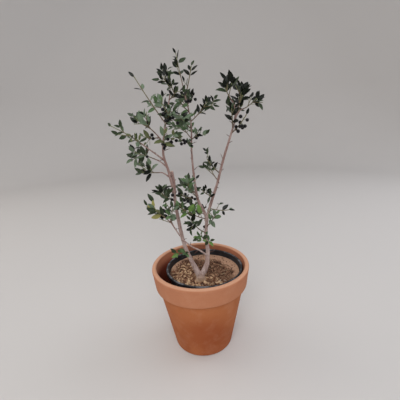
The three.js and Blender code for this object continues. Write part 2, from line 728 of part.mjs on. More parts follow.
/** What a spray keeps: the twigs, leaves and berries that have room, in the order they grew. */
function roomFor(growth, limbs, stemLines) {
  const { spray, stem } = growth;
  const fits = (points, from, to, halfWidth) => insideSpace(points, spray, stemLines)
    && clearOfLimbs(from, to, halfWidth, limbs);
  const twigs = growth.twigs.filter((twig) => {
    const points = twig.curve.getPoints(GROWTH.stemSteps);
    return fits(points, points[0], points[GROWTH.stemSteps], twig.radius);
  });
  const wood = [stem, ...twigs].map((twig) => twig.curve.getPoints(GROWTH.stemSteps));
  const leaves = [];
  for (const leaf of [...growth.leaves, ...twigs.flatMap((twig) => twig.leaves)]) {
    const outline = leafOutline(leaf);
    const [root, , , tip] = outline;
    const stretch = [root.clone().lerp(tip, GROWTH.leafNeck), tip];
    const apart = (from, to, room) => stretchDistance(...stretch, from, to) > room;
    const offLeaf = (other) => apart(...other.stretch, GROWTH.leafSpacing);
    const offTwig = (line) => line.slice(1).every((to, i) => apart(line[i], to, GROWTH.twigSpacing));
    const free = leaves.every(offLeaf) && wood.every(offTwig);
    if (free && fits(outline, root, tip, (GROWTH.leafWidth * leaf.length) / 2)) {
      leaves.push({ ...leaf, stretch });
    }
  }
  const berries = [];
  for (const berry of growth.berries) {
    const free = berries.every((other) => other.centre.distanceTo(berry.centre) > GROWTH.berrySpacing);
    if (free && fits([berry.centre], berry.centre, berry.centre, berry.radius)) berries.push(berry);
  }
  return { stem, twigs, leaves, berries };
}

/** One spray as a single solid: its stem, twigs, leaves and berries. */
function spraySolid(growth, limbs, stemLines) {
  const { spray } = growth;
  const { stem, twigs, leaves, berries } = roomFor(growth, limbs, stemLines);
  const whole = joined([
    twigSolid(stem, GROWTH.stemSteps),
    ...twigs.map((twig) => twigSolid(twig, 1)),
    ...leaves.map(leafSolid),
    ...berries.map(berrySolid),
  ]);
  if (!spray.height) return whole;
  return joined([whole.subtract(limbSolid(limbs.get(spray.limb), CLEARANCE))]);
}

// The scene graph

/** A named mesh with its own material. */
function piece(name, solid, finish) {
  const material = new THREE.MeshStandardMaterial({ ...finish, metalness: 0 });
  const mesh = new THREE.Mesh(geometryFrom(solid), material);
  mesh.name = name;
  return mesh;
}

/** The two pots and the soil. */
function buildContainer() {
  const group = new THREE.Group();
  group.add(
    piece('terracotta_pot', terracottaPot(), FINISHES.terracotta),
    piece('nursery_pot', nurseryPot(), FINISHES.nurseryPlastic),
    piece('soil', soil(), FINISHES.soil),
  );
  return group;
}

/** The trunk and every limb, each cut clear of the one that it grows from. */
function buildWood(limbs) {
  const group = new THREE.Group();
  group.add(piece('trunk', trunk(limbs), FINISHES.bark));
  for (const line of limbs.values()) {
    let solid = limbSolid(line);
    if (line.parent) solid = joined([solid.subtract(limbSolid(limbs.get(line.parent), CLEARANCE))]);
    group.add(piece(line.name, solid, FINISHES.bark));
  }
  return group;
}

/** Every spray of foliage. */
function buildFoliage(limbs) {
  const group = new THREE.Group();
  const growths = SPRAYS.map((row) => grown({ ...SPRAY, ...row }, limbs));
  const stemLines = new Map(growths.map(({ spray, stem }) => [spray.name, stem.curve.getPoints(4)]));
  for (const growth of growths) {
    const solid = spraySolid(growth, limbs, stemLines);
    group.add(piece(`foliage_${growth.spray.name}`, solid, FINISHES.foliage));
  }
  return group;
}

const limbs = new Map();
for (const limb of LIMBS) limbs.set(limb.name, limbLine(limb, limbs));

const plant = new THREE.Group();
plant.name = 'potted_phillyrea';
plant.add(buildContainer(), buildWood(limbs), buildFoliage(limbs));

export default plant;
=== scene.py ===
"""The looks of a potted phillyrea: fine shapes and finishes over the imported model, in its own frame.

Sizes are in millimetres, as in the model's source, and a mesh is written in metres. The shrub grows
by the source's own rule, and then goes on to finer twigs and leaves inside the same spaces.
"""

import json
import logging
import math
from collections.abc import Iterable, Sequence
from dataclasses import dataclass, field, replace
from enum import Enum
from itertools import product

import bmesh
import bpy
import numpy as np
from bpy.types import Collection, Material, Mesh, Node, NodeSocket, NodeTree, Object
from mathutils import Matrix, Vector, kdtree

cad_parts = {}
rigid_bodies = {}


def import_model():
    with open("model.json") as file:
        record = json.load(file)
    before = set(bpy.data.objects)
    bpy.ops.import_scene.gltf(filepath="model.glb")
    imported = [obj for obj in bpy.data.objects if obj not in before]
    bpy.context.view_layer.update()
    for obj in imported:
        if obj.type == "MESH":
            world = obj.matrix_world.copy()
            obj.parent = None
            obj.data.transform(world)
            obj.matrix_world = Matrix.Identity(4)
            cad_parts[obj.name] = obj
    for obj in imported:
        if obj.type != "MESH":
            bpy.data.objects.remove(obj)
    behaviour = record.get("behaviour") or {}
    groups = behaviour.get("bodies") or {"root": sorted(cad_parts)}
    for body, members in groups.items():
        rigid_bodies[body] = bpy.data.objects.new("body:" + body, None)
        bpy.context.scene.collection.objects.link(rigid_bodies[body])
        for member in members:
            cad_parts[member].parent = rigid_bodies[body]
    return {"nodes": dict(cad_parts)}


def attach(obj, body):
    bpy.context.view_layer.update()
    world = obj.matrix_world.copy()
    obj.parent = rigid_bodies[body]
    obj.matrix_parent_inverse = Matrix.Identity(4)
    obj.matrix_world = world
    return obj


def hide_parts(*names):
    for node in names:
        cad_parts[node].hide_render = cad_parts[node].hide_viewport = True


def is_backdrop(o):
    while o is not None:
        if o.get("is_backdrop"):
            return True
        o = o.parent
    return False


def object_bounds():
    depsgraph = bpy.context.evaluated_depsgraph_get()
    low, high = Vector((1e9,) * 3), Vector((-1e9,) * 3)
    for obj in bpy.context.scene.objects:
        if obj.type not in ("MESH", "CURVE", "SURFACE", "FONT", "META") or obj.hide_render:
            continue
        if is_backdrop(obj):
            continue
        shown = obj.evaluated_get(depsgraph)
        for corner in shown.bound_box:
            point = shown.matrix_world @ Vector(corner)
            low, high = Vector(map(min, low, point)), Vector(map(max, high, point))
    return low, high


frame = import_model()

log = logging.getLogger("phillyrea")

Array = np.ndarray
Place = tuple[float, float, float]
Colour = tuple[float, float, float, float]
Span = tuple[float, float]

MM = 0.001
CLEARANCE = 0.3
COLLAR = 2.0
WALL_GAP = 3 * CLEARANCE
SOIL_HEIGHT = 224.0
STEM_FOOT = (-2.0, -43.0)
BODY = "root"


# Node trees


def linear(code: str) -> Colour:
    """Turn a screen colour into the linear colour that a shader takes.

    Args:
        code: The colour as a hash sign and six hexadecimal digits.

    Returns:
        Red, green, blue and alpha.
    """
    channels = [int(code[i:i + 2], 16) / 255 for i in (1, 3, 5)]
    red, green, blue = (c / 12.92 if c <= 0.04045 else ((c + 0.055) / 1.055) ** 2.4 for c in channels)
    return (red, green, blue, 1.0)


class Graph:
    """A node tree that is put together node by node."""

    def __init__(self, tree: NodeTree) -> None:
        """Keep the tree that nodes are added to."""
        self.tree = tree

    def add(self, kind: str, wires: dict[str, object] | None = None, **settings: object) -> Node:
        """Add a node.

        Args:
            kind: The node's type.
            wires: What each input gets, by the input's identifier: a socket, or a plain value.
            settings: The node's own properties.

        Returns:
            The new node.
        """
        node = self.tree.nodes.new(kind)
        for name, setting in settings.items():
            setattr(node, name, setting)
        for identifier, source in (wires or {}).items():
            target = next(socket for socket in node.inputs if socket.identifier == identifier)
            if isinstance(source, NodeSocket):
                self.tree.links.new(source, target)
            else:
                target.default_value = source
        return node

    def out(self, kind: str, wires: dict[str, object] | None = None, **settings: object) -> NodeSocket:
        """Add a node, as add does, and return its first output."""
        return self.add(kind, wires, **settings).outputs[0]

    def maths(self, operation: str, a: object, b: object = 0.0) -> NodeSocket:
        """Return the result of a sum on two numbers or sockets."""
        return self.out("ShaderNodeMath", {"Value": a, "Value_001": b}, operation=operation)


@dataclass(frozen=True)
class Fade:
    """A smooth change from one share to another, while a value goes through a span."""

    span: Span
    share: Span = (0.0, 1.0)


@dataclass(frozen=True)
class Cloud:
    """Cloudy noise, and how a finish reads it.

    Its patches are size millimetres large. It has detail finer layers, each rough times as strong, its
    place is multiplied by stretch along each axis first, and it is drawn about by warp. As a share it is
    read by fade, and as a relief it is depth millimetres deep.
    """

    size: float
    detail: float = 3.0
    rough: float = 0.55
    fade: Fade = Fade((0.0, 1.0))
    stretch: Place = (1.0, 1.0, 1.0)
    warp: float = 0.0
    depth: float = 0.0


class Look(Graph):
    """A material whose surface takes what a finish asks for."""

    def __init__(self, name: str, **uniform: object) -> None:
        """Start a material.

        Args:
            name: The material's name.
            uniform: Values that are the same all over the surface, by the shader's input names in lower
                case with underscores for spaces.
        """
        self.material = bpy.data.materials.new(name)
        self.material.use_nodes = True
        super().__init__(self.material.node_tree)
        self.surface = self.tree.nodes["Principled BSDF"]
        self.place = self.add("ShaderNodeTexCoord").outputs["Object"]
        inputs = {socket.name.lower().replace(" ", "_"): socket for socket in self.surface.inputs}
        for key, value in uniform.items():
            inputs[key].default_value = value

    def feed(self, name: str, socket: NodeSocket) -> None:
        """Lead a socket into an input of the surface shader."""
        self.tree.links.new(socket, self.surface.inputs[name])

    def noise(self, cloud: Cloud) -> NodeSocket:
        """Return the noise of a cloud itself.

        Args:
            cloud: The cloud, of which only the noise is read.

        Returns:
            A number from 0 to 1.
        """
        spot = self.out("ShaderNodeMapping", {"Vector": self.place, "Scale": cloud.stretch})
        wires = {"Vector": spot, "Scale": 1 / (cloud.size * MM), "Detail": cloud.detail,
                 "Roughness": cloud.rough, "Distortion": cloud.warp}
        return self.out("ShaderNodeTexNoise", wires)

    def share(self, cloud: Cloud) -> NodeSocket:
        """Return the noise of a cloud as the share that it asks for."""
        return self.spread(self.noise(cloud), cloud.fade)

    def cells(self, size: float) -> NodeSocket:
        """Return the distance to the middle of the nearest of scattered cells of a size."""
        wires = {"Vector": self.place, "Scale": 1 / (size * MM)}
        return self.out("ShaderNodeTexVoronoi", wires, feature="F1")

    def height(self) -> NodeSocket:
        """Return the height above the ground in metres."""
        return self.add("ShaderNodeSeparateXYZ", {"Vector": self.place}).outputs["Z"]

    def away_from(self, place: Place) -> NodeSocket:
        """Return the distance in metres from a place given in millimetres."""
        wires = {"Vector": self.place, "Vector_001": tuple(value * MM for value in place)}
        return self.add("ShaderNodeVectorMath", wires, operation="DISTANCE").outputs["Value"]

    def off_axis(self) -> NodeSocket:
        """Find how far each place is from the upright axis through the origin.

        Returns:
            The distance in metres.
        """
        wires = {"Vector": self.place, "Vector_001": (1, 1, 0)}
        level = self.out("ShaderNodeVectorMath", wires, operation="MULTIPLY")
        return self.add("ShaderNodeVectorMath", {"Vector": level}, operation="LENGTH").outputs["Value"]

    def attribute(self, name: str) -> NodeSocket:
        """Return a number that the mesh holds at each of its corners."""
        return self.add("ShaderNodeAttribute", attribute_name=name).outputs["Fac"]

    def spread(self, value: NodeSocket, fade: Fade) -> NodeSocket:
        """Return the share that a fade has at a value. Outside its span it stays as it is there."""
        wires = dict(zip(("From Min", "From Max", "To Min", "To Max"), (*fade.span, *fade.share)))
        return self.out("ShaderNodeMapRange", wires | {"Value": value}, interpolation_type="SMOOTHSTEP")

    def by_length(self, length: NodeSocket, fade: Fade) -> NodeSocket:
        """Return the share that a fade in millimetres has at a length in metres."""
        return self.spread(length, Fade((fade.span[0] * MM, fade.span[1] * MM), fade.share))

    def blend(self, share: NodeSocket, a: object, b: object) -> NodeSocket:
        """Mix two colours.

        Args:
            share: How much of the second there is, from 0 to 1.
            a: The first colour or its socket.
            b: The second colour or its socket.

        Returns:
            The mixed colour.
        """
        wires = {"Factor_Float": share, "A_Color": a, "B_Color": b}
        node = self.add("ShaderNodeMix", wires, data_type="RGBA")
        return next(socket for socket in node.outputs if socket.identifier == "Result_Color")

    def relief(self, cloud: Cloud) -> None:
        """Raise the surface's shading, over any relief that it has already.

        Args:
            cloud: The cloud, which is read as a relief.
        """
        wires: dict[str, object] = {"Height": self.noise(cloud), "Distance": cloud.depth * MM}
        before = self.surface.inputs["Normal"].links
        if before:
            wires["Normal"] = before[0].from_socket
        self.feed("Normal", self.out("ShaderNodeBump", wires))


class Kind(Enum):
    """The kinds of input that a Geometry Nodes tree takes."""

    NUMBER = "NodeSocketFloat"
    COUNT = "NodeSocketInt"
    PLACE = "NodeSocketVector"
    SHAPES = "NodeSocketCollection"
    FINISH = "NodeSocketMaterial"


class Shaper(Graph):
    """A Geometry Nodes tree with named inputs, which turns an object's mesh into a finished one."""

    def __init__(self, name: str) -> None:
        """Start a tree that takes a mesh and gives one back.

        Args:
            name: The tree's name.
        """
        super().__init__(bpy.data.node_groups.new(name, "GeometryNodeTree"))
        for way in ("INPUT", "OUTPUT"):
            self.tree.interface.new_socket("Geometry", in_out=way, socket_type="NodeSocketGeometry")
        self.start = self.tree.nodes.new("NodeGroupInput")
        self.end = self.tree.nodes.new("NodeGroupOutput")
        self.identifiers: dict[str, str] = {}

    @property
    def mesh(self) -> NodeSocket:
        """The object's own mesh."""
        return self.start.outputs[0]

    def value(self, name: str, kind: Kind = Kind.NUMBER) -> NodeSocket:
        """Add a named input.

        Args:
            name: The input's name.
            kind: What it takes.

        Returns:
            Its socket inside the tree.
        """
        item = self.tree.interface.new_socket(name, in_out="INPUT", socket_type=kind.value)
        self.identifiers[name] = item.identifier
        return next(socket for socket in self.start.outputs if socket.identifier == item.identifier)

    def held(self, name: str, kind: str) -> NodeSocket:
        """Return an attribute that the mesh holds."""
        return self.out("GeometryNodeInputNamedAttribute", {"Name": name}, data_type=kind)

    def random(self, low: object, high: object, seed: object) -> NodeSocket:
        """Return a random number, different at each point.

        Args:
            low: The least that it may be.
            high: The most that it may be.
            seed: Which row of chance it comes from.

        Returns:
            The number's socket.
        """
        wires = {"Min_001": low, "Max_001": high, "Seed": seed}
        node = self.add("FunctionNodeRandomValue", wires, data_type="FLOAT")
        return next(socket for socket in node.outputs if socket.identifier == "Value_001")

    def real(self, geometry: NodeSocket) -> NodeSocket:
        """Turn the copies in a geometry into plain mesh."""
        return self.out("GeometryNodeRealizeInstances", {"Geometry": geometry})

    def copies(self, points: NodeSocket, **wires: object) -> NodeSocket:
        """Set a copy of one of the shapes, which are an input of the tree, at each point.

        Args:
            points: The points.
            wires: How they are turned, sized and picked, by the input's name with underscores for spaces.

        Returns:
            The copies as plain mesh.
        """
        shapes = self.out("GeometryNodeCollectionInfo", {
            "Collection": self.value("Shapes", Kind.SHAPES), "Separate Children": True,
            "Reset Children": True})
        named = {key.replace("_", " "): value for key, value in wires.items()}
        laid = self.out("GeometryNodeInstanceOnPoints", {
            "Points": points, "Instance": shapes, "Pick Instance": True, **named})
        return self.real(laid)

    def dressed(self, geometry: NodeSocket, name: str, **wires: object) -> NodeSocket:
        """Give a geometry, or the selected faces of it, the finish of a named input."""
        wires |= {"Geometry": geometry, "Material": self.value(name, Kind.FINISH)}
        return self.out("GeometryNodeSetMaterial", wires)

    def close(self, geometry: NodeSocket) -> None:
        """Lead the finished geometry out of the tree."""
        self.tree.links.new(geometry, self.end.inputs[0])

    def shape(self, obj: Object, values: dict[str, object]) -> None:
        """Run the tree on an object and keep what comes out as its plain mesh.

        Args:
            obj: The object whose mesh goes in.
            values: What each named input gets.
        """
        modifier = obj.modifiers.new(self.tree.name, "NODES")
        modifier.node_group = self.tree
        for name, value in values.items():
            modifier[self.identifiers[name]] = value
        keep_evaluated(obj)


# Meshes


def keep_evaluated(obj: Object) -> None:
    """Replace an object's mesh by what its modifiers make of it, and take them off.

    Args:
        obj: The object.
    """
    graph = bpy.context.evaluated_depsgraph_get()
    result = obj.evaluated_get(graph)
    mesh = bpy.data.meshes.new_from_object(result, preserve_all_data_layers=True, depsgraph=graph)
    obj.modifiers.clear()
    before = obj.data
    obj.data = mesh
    mesh.name = obj.name
    bpy.data.meshes.remove(before)


def face_outwards(mesh: Mesh) -> None:
    """Turn the faces of a mesh outwards if they point in.

    Args:
        mesh: The mesh, which is closed.
    """
    shell = bmesh.new()
    shell.from_mesh(mesh)
    inside_out = shell.calc_volume(signed=True) < 0
    shell.free()
    if inside_out:
        mesh.flip_normals()


def rows_of(items: bpy.types.bpy_prop_collection, key: str, width: int, kind: type = float) -> Array:
    """Read a property of every corner, edge or the like of a mesh.

    Args:
        items: The corners, edges or the like.
        key: The property's name.
        width: How many numbers it has.
        kind: Their type.

    Returns:
        One row for each item.
    """
    flat = np.empty(width * len(items), kind)
    items.foreach_get(key, flat)
    return flat.reshape(-1, width)


def corners_of(mesh: Mesh) -> Array:
    """Return the corners of a mesh in millimetres."""
    return rows_of(mesh.vertices, "co", 3) / MM


def move_corners(mesh: Mesh, corners: Array) -> None:
    """Put the corners of a mesh at places in millimetres."""
    mesh.vertices.foreach_set("co", (corners * MM).ravel())
    mesh.update()


def edge_ends(mesh: Mesh) -> Array:
    """Return the numbers of the two corners of each edge."""
    return rows_of(mesh.edges, "vertices", 2, np.int32)


def hold(mesh: Mesh, name: str, kind: str, values: Array, domain: str = "POINT") -> None:
    """Store values on a mesh as an attribute.

    Args:
        mesh: The mesh.
        name: The attribute's name.
        kind: The attribute's type.
        values: One row for each element of the domain.
        domain: The kind of element that holds a value.
    """
    layer = mesh.attributes.new(name, kind, domain)
    key = "vector" if kind == "FLOAT_VECTOR" else "value"
    layer.data.foreach_set(key, np.ascontiguousarray(values).ravel())


def linked(name: str, data: bpy.types.ID) -> Object:
    """Make an object and put it into the scene.

    Args:
        name: The object's name.
        data: What it is of: a mesh, a light or a camera.

    Returns:
        The object.
    """
    obj = bpy.data.objects.new(name, data)
    bpy.context.scene.collection.objects.link(obj)
    return obj


def new_object(name: str, corners: Array, faces: Sequence[Sequence[int]] = (),
               edges: Sequence[Sequence[int]] = ()) -> Object:
    """Make an object in the scene.

    Args:
        name: The object's name.
        corners: Its corners in millimetres.
        faces: The corners of each face, by number.
        edges: The corners of each loose edge, by number.

    Returns:
        The object.
    """
    mesh = bpy.data.meshes.new(name)
    mesh.from_pydata((np.asarray(corners, float) * MM).tolist(), edges, faces)
    return linked(name, mesh)


def ball(name: str, radius: float, subdivisions: int) -> Object:
    """Make a ball of triangles.

    Args:
        name: The object's name.
        radius: Its radius in millimetres.
        subdivisions: How fine it is. At 1 it has twenty faces.

    Returns:
        The object.
    """
    shell = bmesh.new()
    bmesh.ops.create_icosphere(shell, subdivisions=subdivisions, radius=radius * MM)
    obj = new_object(name, np.zeros((0, 3)))
    shell.to_mesh(obj.data)
    shell.free()
    return obj


def finish_piece(obj: Object, nodes: Iterable[str], material: Material | None = None) -> None:
    """Make an object a piece of the part.

    Args:
        obj: The piece.
        nodes: The model's nodes that it stands for.
        material: Its finish, for a piece that has none yet and is smooth all over.
    """
    if material:
        obj.data.shade_smooth()
        obj.data.materials.append(material)
    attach(obj, BODY)
    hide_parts(*nodes)
    obj.data.calc_loop_triangles()
    log.info("%s: %d triangles", obj.name, len(obj.data.loop_triangles))


def around(steps: int) -> Array:
    """Return even steps round a circle, as angles."""
    return np.arange(steps) * math.tau / steps


@dataclass
class Skin:
    """Corners and faces that are gathered into one mesh."""

    corners: list[Array] = field(default_factory=list)
    faces: list[tuple[int, ...]] = field(default_factory=list)
    count: int = 0

    def add(self, corners: Array, faces: Iterable[Sequence[int]]) -> None:
        """Gather more corners, and the faces between them.

        Args:
            corners: The corners.
            faces: The corners of each face, counted from the first of these.
        """
        self.faces.extend(tuple(self.count + corner for corner in face) for face in faces)
        self.corners.append(corners)
        self.count += len(corners)

    def stack(self, rings: Array) -> None:
        """Gather a stack of rings, closed at both ends.

        Args:
            rings: The corners of each ring. All have the same number.
        """
        layers, sides = rings.shape[:2]
        faces: list[tuple[int, ...]] = []
        for layer, side in product(range(layers - 1), range(sides)):
            a, b = layer * sides + side, layer * sides + (side + 1) % sides
            faces.append((a, b, b + sides, a + sides))
        faces.append(tuple(reversed(range(sides))))
        faces.append(tuple(range((layers - 1) * sides, layers * sides)))
        self.add(rings.reshape(-1, 3), faces)

    def tube(self, line: Array, radii: Array, sides: int) -> None:
        """Gather a tapering tube.

        Args:
            line: The points that it runs along.
            radii: Its radius at each of them.
            sides: How many sides it has.
        """
        across, up = frames_along(line)
        angles = around(sides)
        ring = across[:, None] * np.cos(angles)[:, None] + up[:, None] * np.sin(angles)[:, None]
        self.stack(line[:, None] + ring * np.asarray(radii)[:, None, None])

    def object(self, name: str) -> Object:
        """Make one object of everything gathered."""
        return new_object(name, np.concatenate(self.corners), self.faces)


def unit(vector: Array) -> Array:
    """Return a vector, or each of a row of vectors, at length one."""
    return vector / np.linalg.norm(vector, axis=-1, keepdims=True)


def gone_along(line: Array) -> Array:
    """Return how far along a line each of its points is."""
    return np.concatenate([[0], np.cumsum(np.linalg.norm(np.diff(line, axis=0), axis=1))])


def tangents_along(line: Array) -> Array:
    """Return the direction of a line at each of its points."""
    padded = np.concatenate([line[:1], line, line[-1:]])
    return unit(padded[2:] - padded[:-2])


def frames_along(line: Array) -> tuple[Array, Array]:
    """Carry two directions that are square to a line, and to each other, along it without twist.

    Args:
        line: The points of the line.

    Returns:
        Both directions at each point.
    """
    along = tangents_along(line)
    across = [square_to(along[0])]
    for direction in along[1:]:
        last = across[-1]
        across.append(unit(last - direction * (last @ direction)))
    return np.array(across), np.cross(along, np.array(across))


HASH_AXES = np.array([374761393, 668265263, 1274126177])
HASH_SEED = 974711
HASH_MIX = 1103515245


def lattice_noise(points: Array, seed: int) -> Array:
    """Return smooth noise from -1 to 1. The large numbers turn a place on the lattice into chance.

    Args:
        points: Places, on a lattice with steps of one.
        seed: Which noise it is.

    Returns:
        One value for each place.
    """
    cell = np.floor(points).astype(np.int64)
    part = points - cell
    ease = part * part * (3 - 2 * part)
    total = np.zeros(len(points))
    for step in product((0, 1), repeat=3):
        mixed = (cell + step) @ HASH_AXES + seed * HASH_SEED
        mixed = ((mixed ^ (mixed >> 13)) * HASH_MIX) & 0x7FFFFFFF
        value = ((mixed ^ (mixed >> 15)) & 0xFFFF) / 0x7FFF - 1
        total += value * np.prod(np.where(step, ease, 1 - ease), axis=1)
    return total


def cloudy(points: Array, size: float, layers: int, seed: int) -> Array:
    """Return layered noise, each layer half as large and half as strong as the one before."""
    return sum(lattice_noise(points / size * 2 ** i, seed + i) / 2 ** i for i in range(layers))


# Finishes


@dataclass(frozen=True)
class Terracotta:
    """Fired clay: sandy, paler along its rim band, and darker and redder low down.

    The paler rim band is partly the clay's own colour and partly painted light. The darker foot is
    partly damp where water sits in it and partly painted shade. Painted shade also darkens a patch on
    the front and the inside deep down, a painted shadow darkens the body just under the rim band, and
    the rim's top is paler, partly as lime bloom and partly as a painted highlight. Each fade is a change
    of colour over a height, or over a distance from the place or wall it names.
    """

    # rim: the paler band, partly the clay's own colour and partly painted light
    rim: Colour = linear("#b87b5b")
    body: Colour = linear("#b06b43")
    # A darker red for real specks and damp, and for painted shade low down, on the front and under the rim
    # band
    damp_and_shade: Colour = linear("#954c29")
    bloom: Colour = linear("#cfa387")
    # inside: the colour of the painted shade deep in the pot
    inside: Colour = linear("#6a2514")
    rim_edge: Fade = Fade((193, 196))
    low_damp_and_shade: Fade = Fade((184, 64), (0, 0.8))
    stain: Cloud = Cloud(75, 4, 0.5, Fade((0.36, 0.62), (0.15, 0.8)), warp=0.3)
    # A darker, redder patch on the front middle: partly damp, partly painted shade.
    front_damp_and_shade: Place = (8.0, -96.0, 84.0)
    # Painted shadow on the body just under the rim band.
    front_damp_and_shade_reach: Fade = Fade((92, 24), (0, 0.7))
    under_rim: Fade = Fade((185, 194), (0, 0.5))
    band_foot: Fade = Fade((195, 194))
    mottle: Cloud = Cloud(36, 6, 0.62, Fade((0.44, 0.72), (0, 0.13)))
    wall_foot: float = 81.2
    wall_slope: float = 0.196
    wall_middle: Fade = Fade((1.5, -1.5))
    painted_inner_shade: Fade = Fade((245, 215), (0.38, 0.95))
    # The rim's top paler: partly lime bloom, partly a painted highlight.
    lip: Fade = Fade((249, 253), (0, 0.6))
    speck: Cloud = Cloud(1.6, 2, fade=Fade((0.62, 0.72), (0, 0.35)))
    grain: Cloud = Cloud(1.2, depth=0.22)
    drag: Cloud = Cloud(9, 4, stretch=(0.3, 0.3, 4), depth=0.25)

    def material(self) -> Material:
        """Build the material.

        Returns:
            The material.
        """
        look = Look("terracotta", roughness=0.88, specular_ior_level=0.2)
        height = look.height()
        # The paler rim band: partly the clay's own colour, partly painted light.
        colour = look.blend(look.by_length(height, self.rim_edge), self.body, self.rim)
        # Darker and redder low on the body: partly damp, partly painted shade.
        low = look.by_length(height, self.low_damp_and_shade)
        colour = look.blend(look.maths("MULTIPLY", low, look.share(self.stain)), colour, self.damp_and_shade)
        # A darker, redder patch on the front middle: partly damp, partly painted shade.
        patch = look.by_length(look.away_from(self.front_damp_and_shade), self.front_damp_and_shade_reach)
        colour = look.blend(patch, colour, self.damp_and_shade)
        # Painted shadow on the body just under the rim band.
        under = look.by_length(height, self.under_rim)
        on_body = look.by_length(height, self.band_foot)
        colour = look.blend(look.maths("MULTIPLY", under, on_body), colour, self.damp_and_shade)
        colour = look.blend(look.share(self.mottle), colour, self.bloom)
        # Painted shade inside the pot, darker further down the inner wall.
        middle = look.maths("ADD", look.maths("MULTIPLY", height, self.wall_slope), self.wall_foot * MM)
        inner = look.by_length(look.maths("SUBTRACT", look.off_axis(), middle), self.wall_middle)
        depth = look.by_length(height, self.painted_inner_shade)
        colour = look.blend(look.maths("MULTIPLY", inner, depth), colour, self.inside)
        # The rim's top paler: partly lime bloom, partly a painted highlight.
        colour = look.blend(look.by_length(height, self.lip), colour, self.bloom)
        look.feed("Base Color", look.blend(look.share(self.speck), colour, self.damp_and_shade))
        look.relief(self.grain)
        look.relief(self.drag)
        return look.material


@dataclass(frozen=True)
class NurseryPlastic:
    """Thin black moulded plastic, scuffed grey along its rim."""

    black: Colour = linear("#131419")
    scuff: Colour = linear("#85868b")
    rim: Fade = Fade((239, 240.6), (0.05, 0.7))
    dullness: Fade = Fade((0, 1), (0.42, 0.72))
    scratch: Cloud = Cloud(22, 7, 0.7, Fade((0.46, 0.64)))
    grain: Cloud = Cloud(2.2, depth=0.12)

    def material(self) -> Material:
        """Build the material.

        Returns:
            The material.
        """
        look = Look("nursery_plastic", specular_ior_level=0.45)
        scratch = look.share(self.scratch)
        rim = look.by_length(look.height(), self.rim)
        look.feed("Base Color", look.blend(look.maths("MULTIPLY", scratch, rim), self.black, self.scuff))
        look.feed("Roughness", look.spread(scratch, self.dullness))
        look.relief(self.grain)
        return look.material


@dataclass(frozen=True)
class PottingMix:
    """Composted bark and peat, mottled dark at random, with a smoother sandy skin where it has settled.

    Its crack takes the darkest colour as painted shade.
    """

    # The darkest brown: dark bits at random, and painted shade in the crack.
    hollow: Colour = linear("#281711")
    mix: Colour = linear("#6b4a3a")
    dry: Colour = linear("#a98468")
    sand: Colour = linear("#ae8a72")
    crumbs: Cloud = Cloud(5, 6, 0.68, Fade((0.34, 0.56)))
    dry_patches: Cloud = Cloud(11, 6, 0.7, Fade((0.52, 0.72)))
    sandy_patches: Cloud = Cloud(4, 5, 0.65, Fade((0.4, 0.7), (0, 0.6)))
    grain: Cloud = Cloud(1.6, 4, 0.7, depth=0.5)

    def material(self) -> Material:
        """Build the material, which reads the attributes settled and hollow.

        Returns:
            The material.
        """
        look = Look("potting_mix", roughness=0.95, specular_ior_level=0.15)
        colour = look.blend(look.share(self.crumbs), self.hollow, self.mix)
        colour = look.blend(look.share(self.dry_patches), colour, self.dry)
        sandy = look.blend(look.share(self.sandy_patches), self.sand, self.mix)
        colour = look.blend(look.attribute("settled"), colour, sandy)
        # Painted shade: the crack, where the attribute hollow is high, takes the darkest colour.
        look.feed("Base Color", look.blend(look.attribute("hollow"), colour, self.hollow))
        look.relief(self.grain)
        return look.material


@dataclass(frozen=True)
class Scrap:
    """Something dry that lies in the mix, in one of two colours and what lies between them."""

    name: str
    pale: Colour
    dark: Colour
    patch: float
    grain: float
    edge: Fade = Fade((0.38, 0.62))

    def material(self) -> Material:
        """Build the material.

        Returns:
            The material.
        """
        look = Look(self.name, roughness=0.9, specular_ior_level=0.2)
        share = look.share(Cloud(self.patch, 2, fade=self.edge))
        look.feed("Base Color", look.blend(share, self.pale, self.dark))
        look.relief(Cloud(self.grain, 4, 0.65, stretch=(1, 2.4, 1), depth=0.3))
        return look.material


@dataclass(frozen=True)
class Bark:
    """Smooth grey bark with a pink cast, cracked fine along the stem and ochre near the soil."""

    grey: Colour = linear("#a28b84")
    pale: Colour = linear("#bfaba5")
    brown: Colour = linear("#705750")
    ochre: Colour = linear("#96754f")
    rosy: Colour = linear("#7c5c55")
    cut: Colour = linear("#c9b3a4")
    blotch: Cloud = Cloud(16, 5, 0.6, Fade((0.36, 0.66)), stretch=(1, 1, 0.45))
    young_wood: Fade = Fade((300, 470), (0, 0.75))
    streak: Cloud = Cloud(9, 4, 0.6, Fade((0.34, 0.6), (0.25, 1)), stretch=(1, 1, 0.25))
    crack: Cloud = Cloud(2.4, 5, 0.7, Fade((0.48, 0.66), (0, 0.75)), stretch=(1, 1, 0.2))
    pore_size: float = 4.5
    pore: Fade = Fade((0.2, 0.1), (0, 0.4))
    ochre_height: Fade = Fade((252, 222), (0, 0.8))
    grain: Cloud = Cloud(1.1, 4, 0.65, stretch=(1, 1, 0.3), depth=0.22)

    def material(self) -> Material:
        """Build the material, which reads the attribute cut.

        Returns:
            The material.
        """
        look = Look("bark", roughness=0.82, specular_ior_level=0.25)
        height = look.height()
        colour = look.blend(look.share(self.blotch), self.grey, self.pale)
        high = look.by_length(height, self.young_wood)
        colour = look.blend(look.maths("MULTIPLY", high, look.share(self.streak)), colour, self.rosy)
        colour = look.blend(look.share(self.crack), colour, self.brown)
        pore = look.spread(look.cells(self.pore_size), self.pore)
        colour = look.blend(pore, colour, self.pale)
        colour = look.blend(look.by_length(height, self.ochre_height), colour, self.ochre)
        look.feed("Base Color", look.blend(look.attribute("cut"), colour, self.cut))
        look.relief(self.grain)
        return look.material


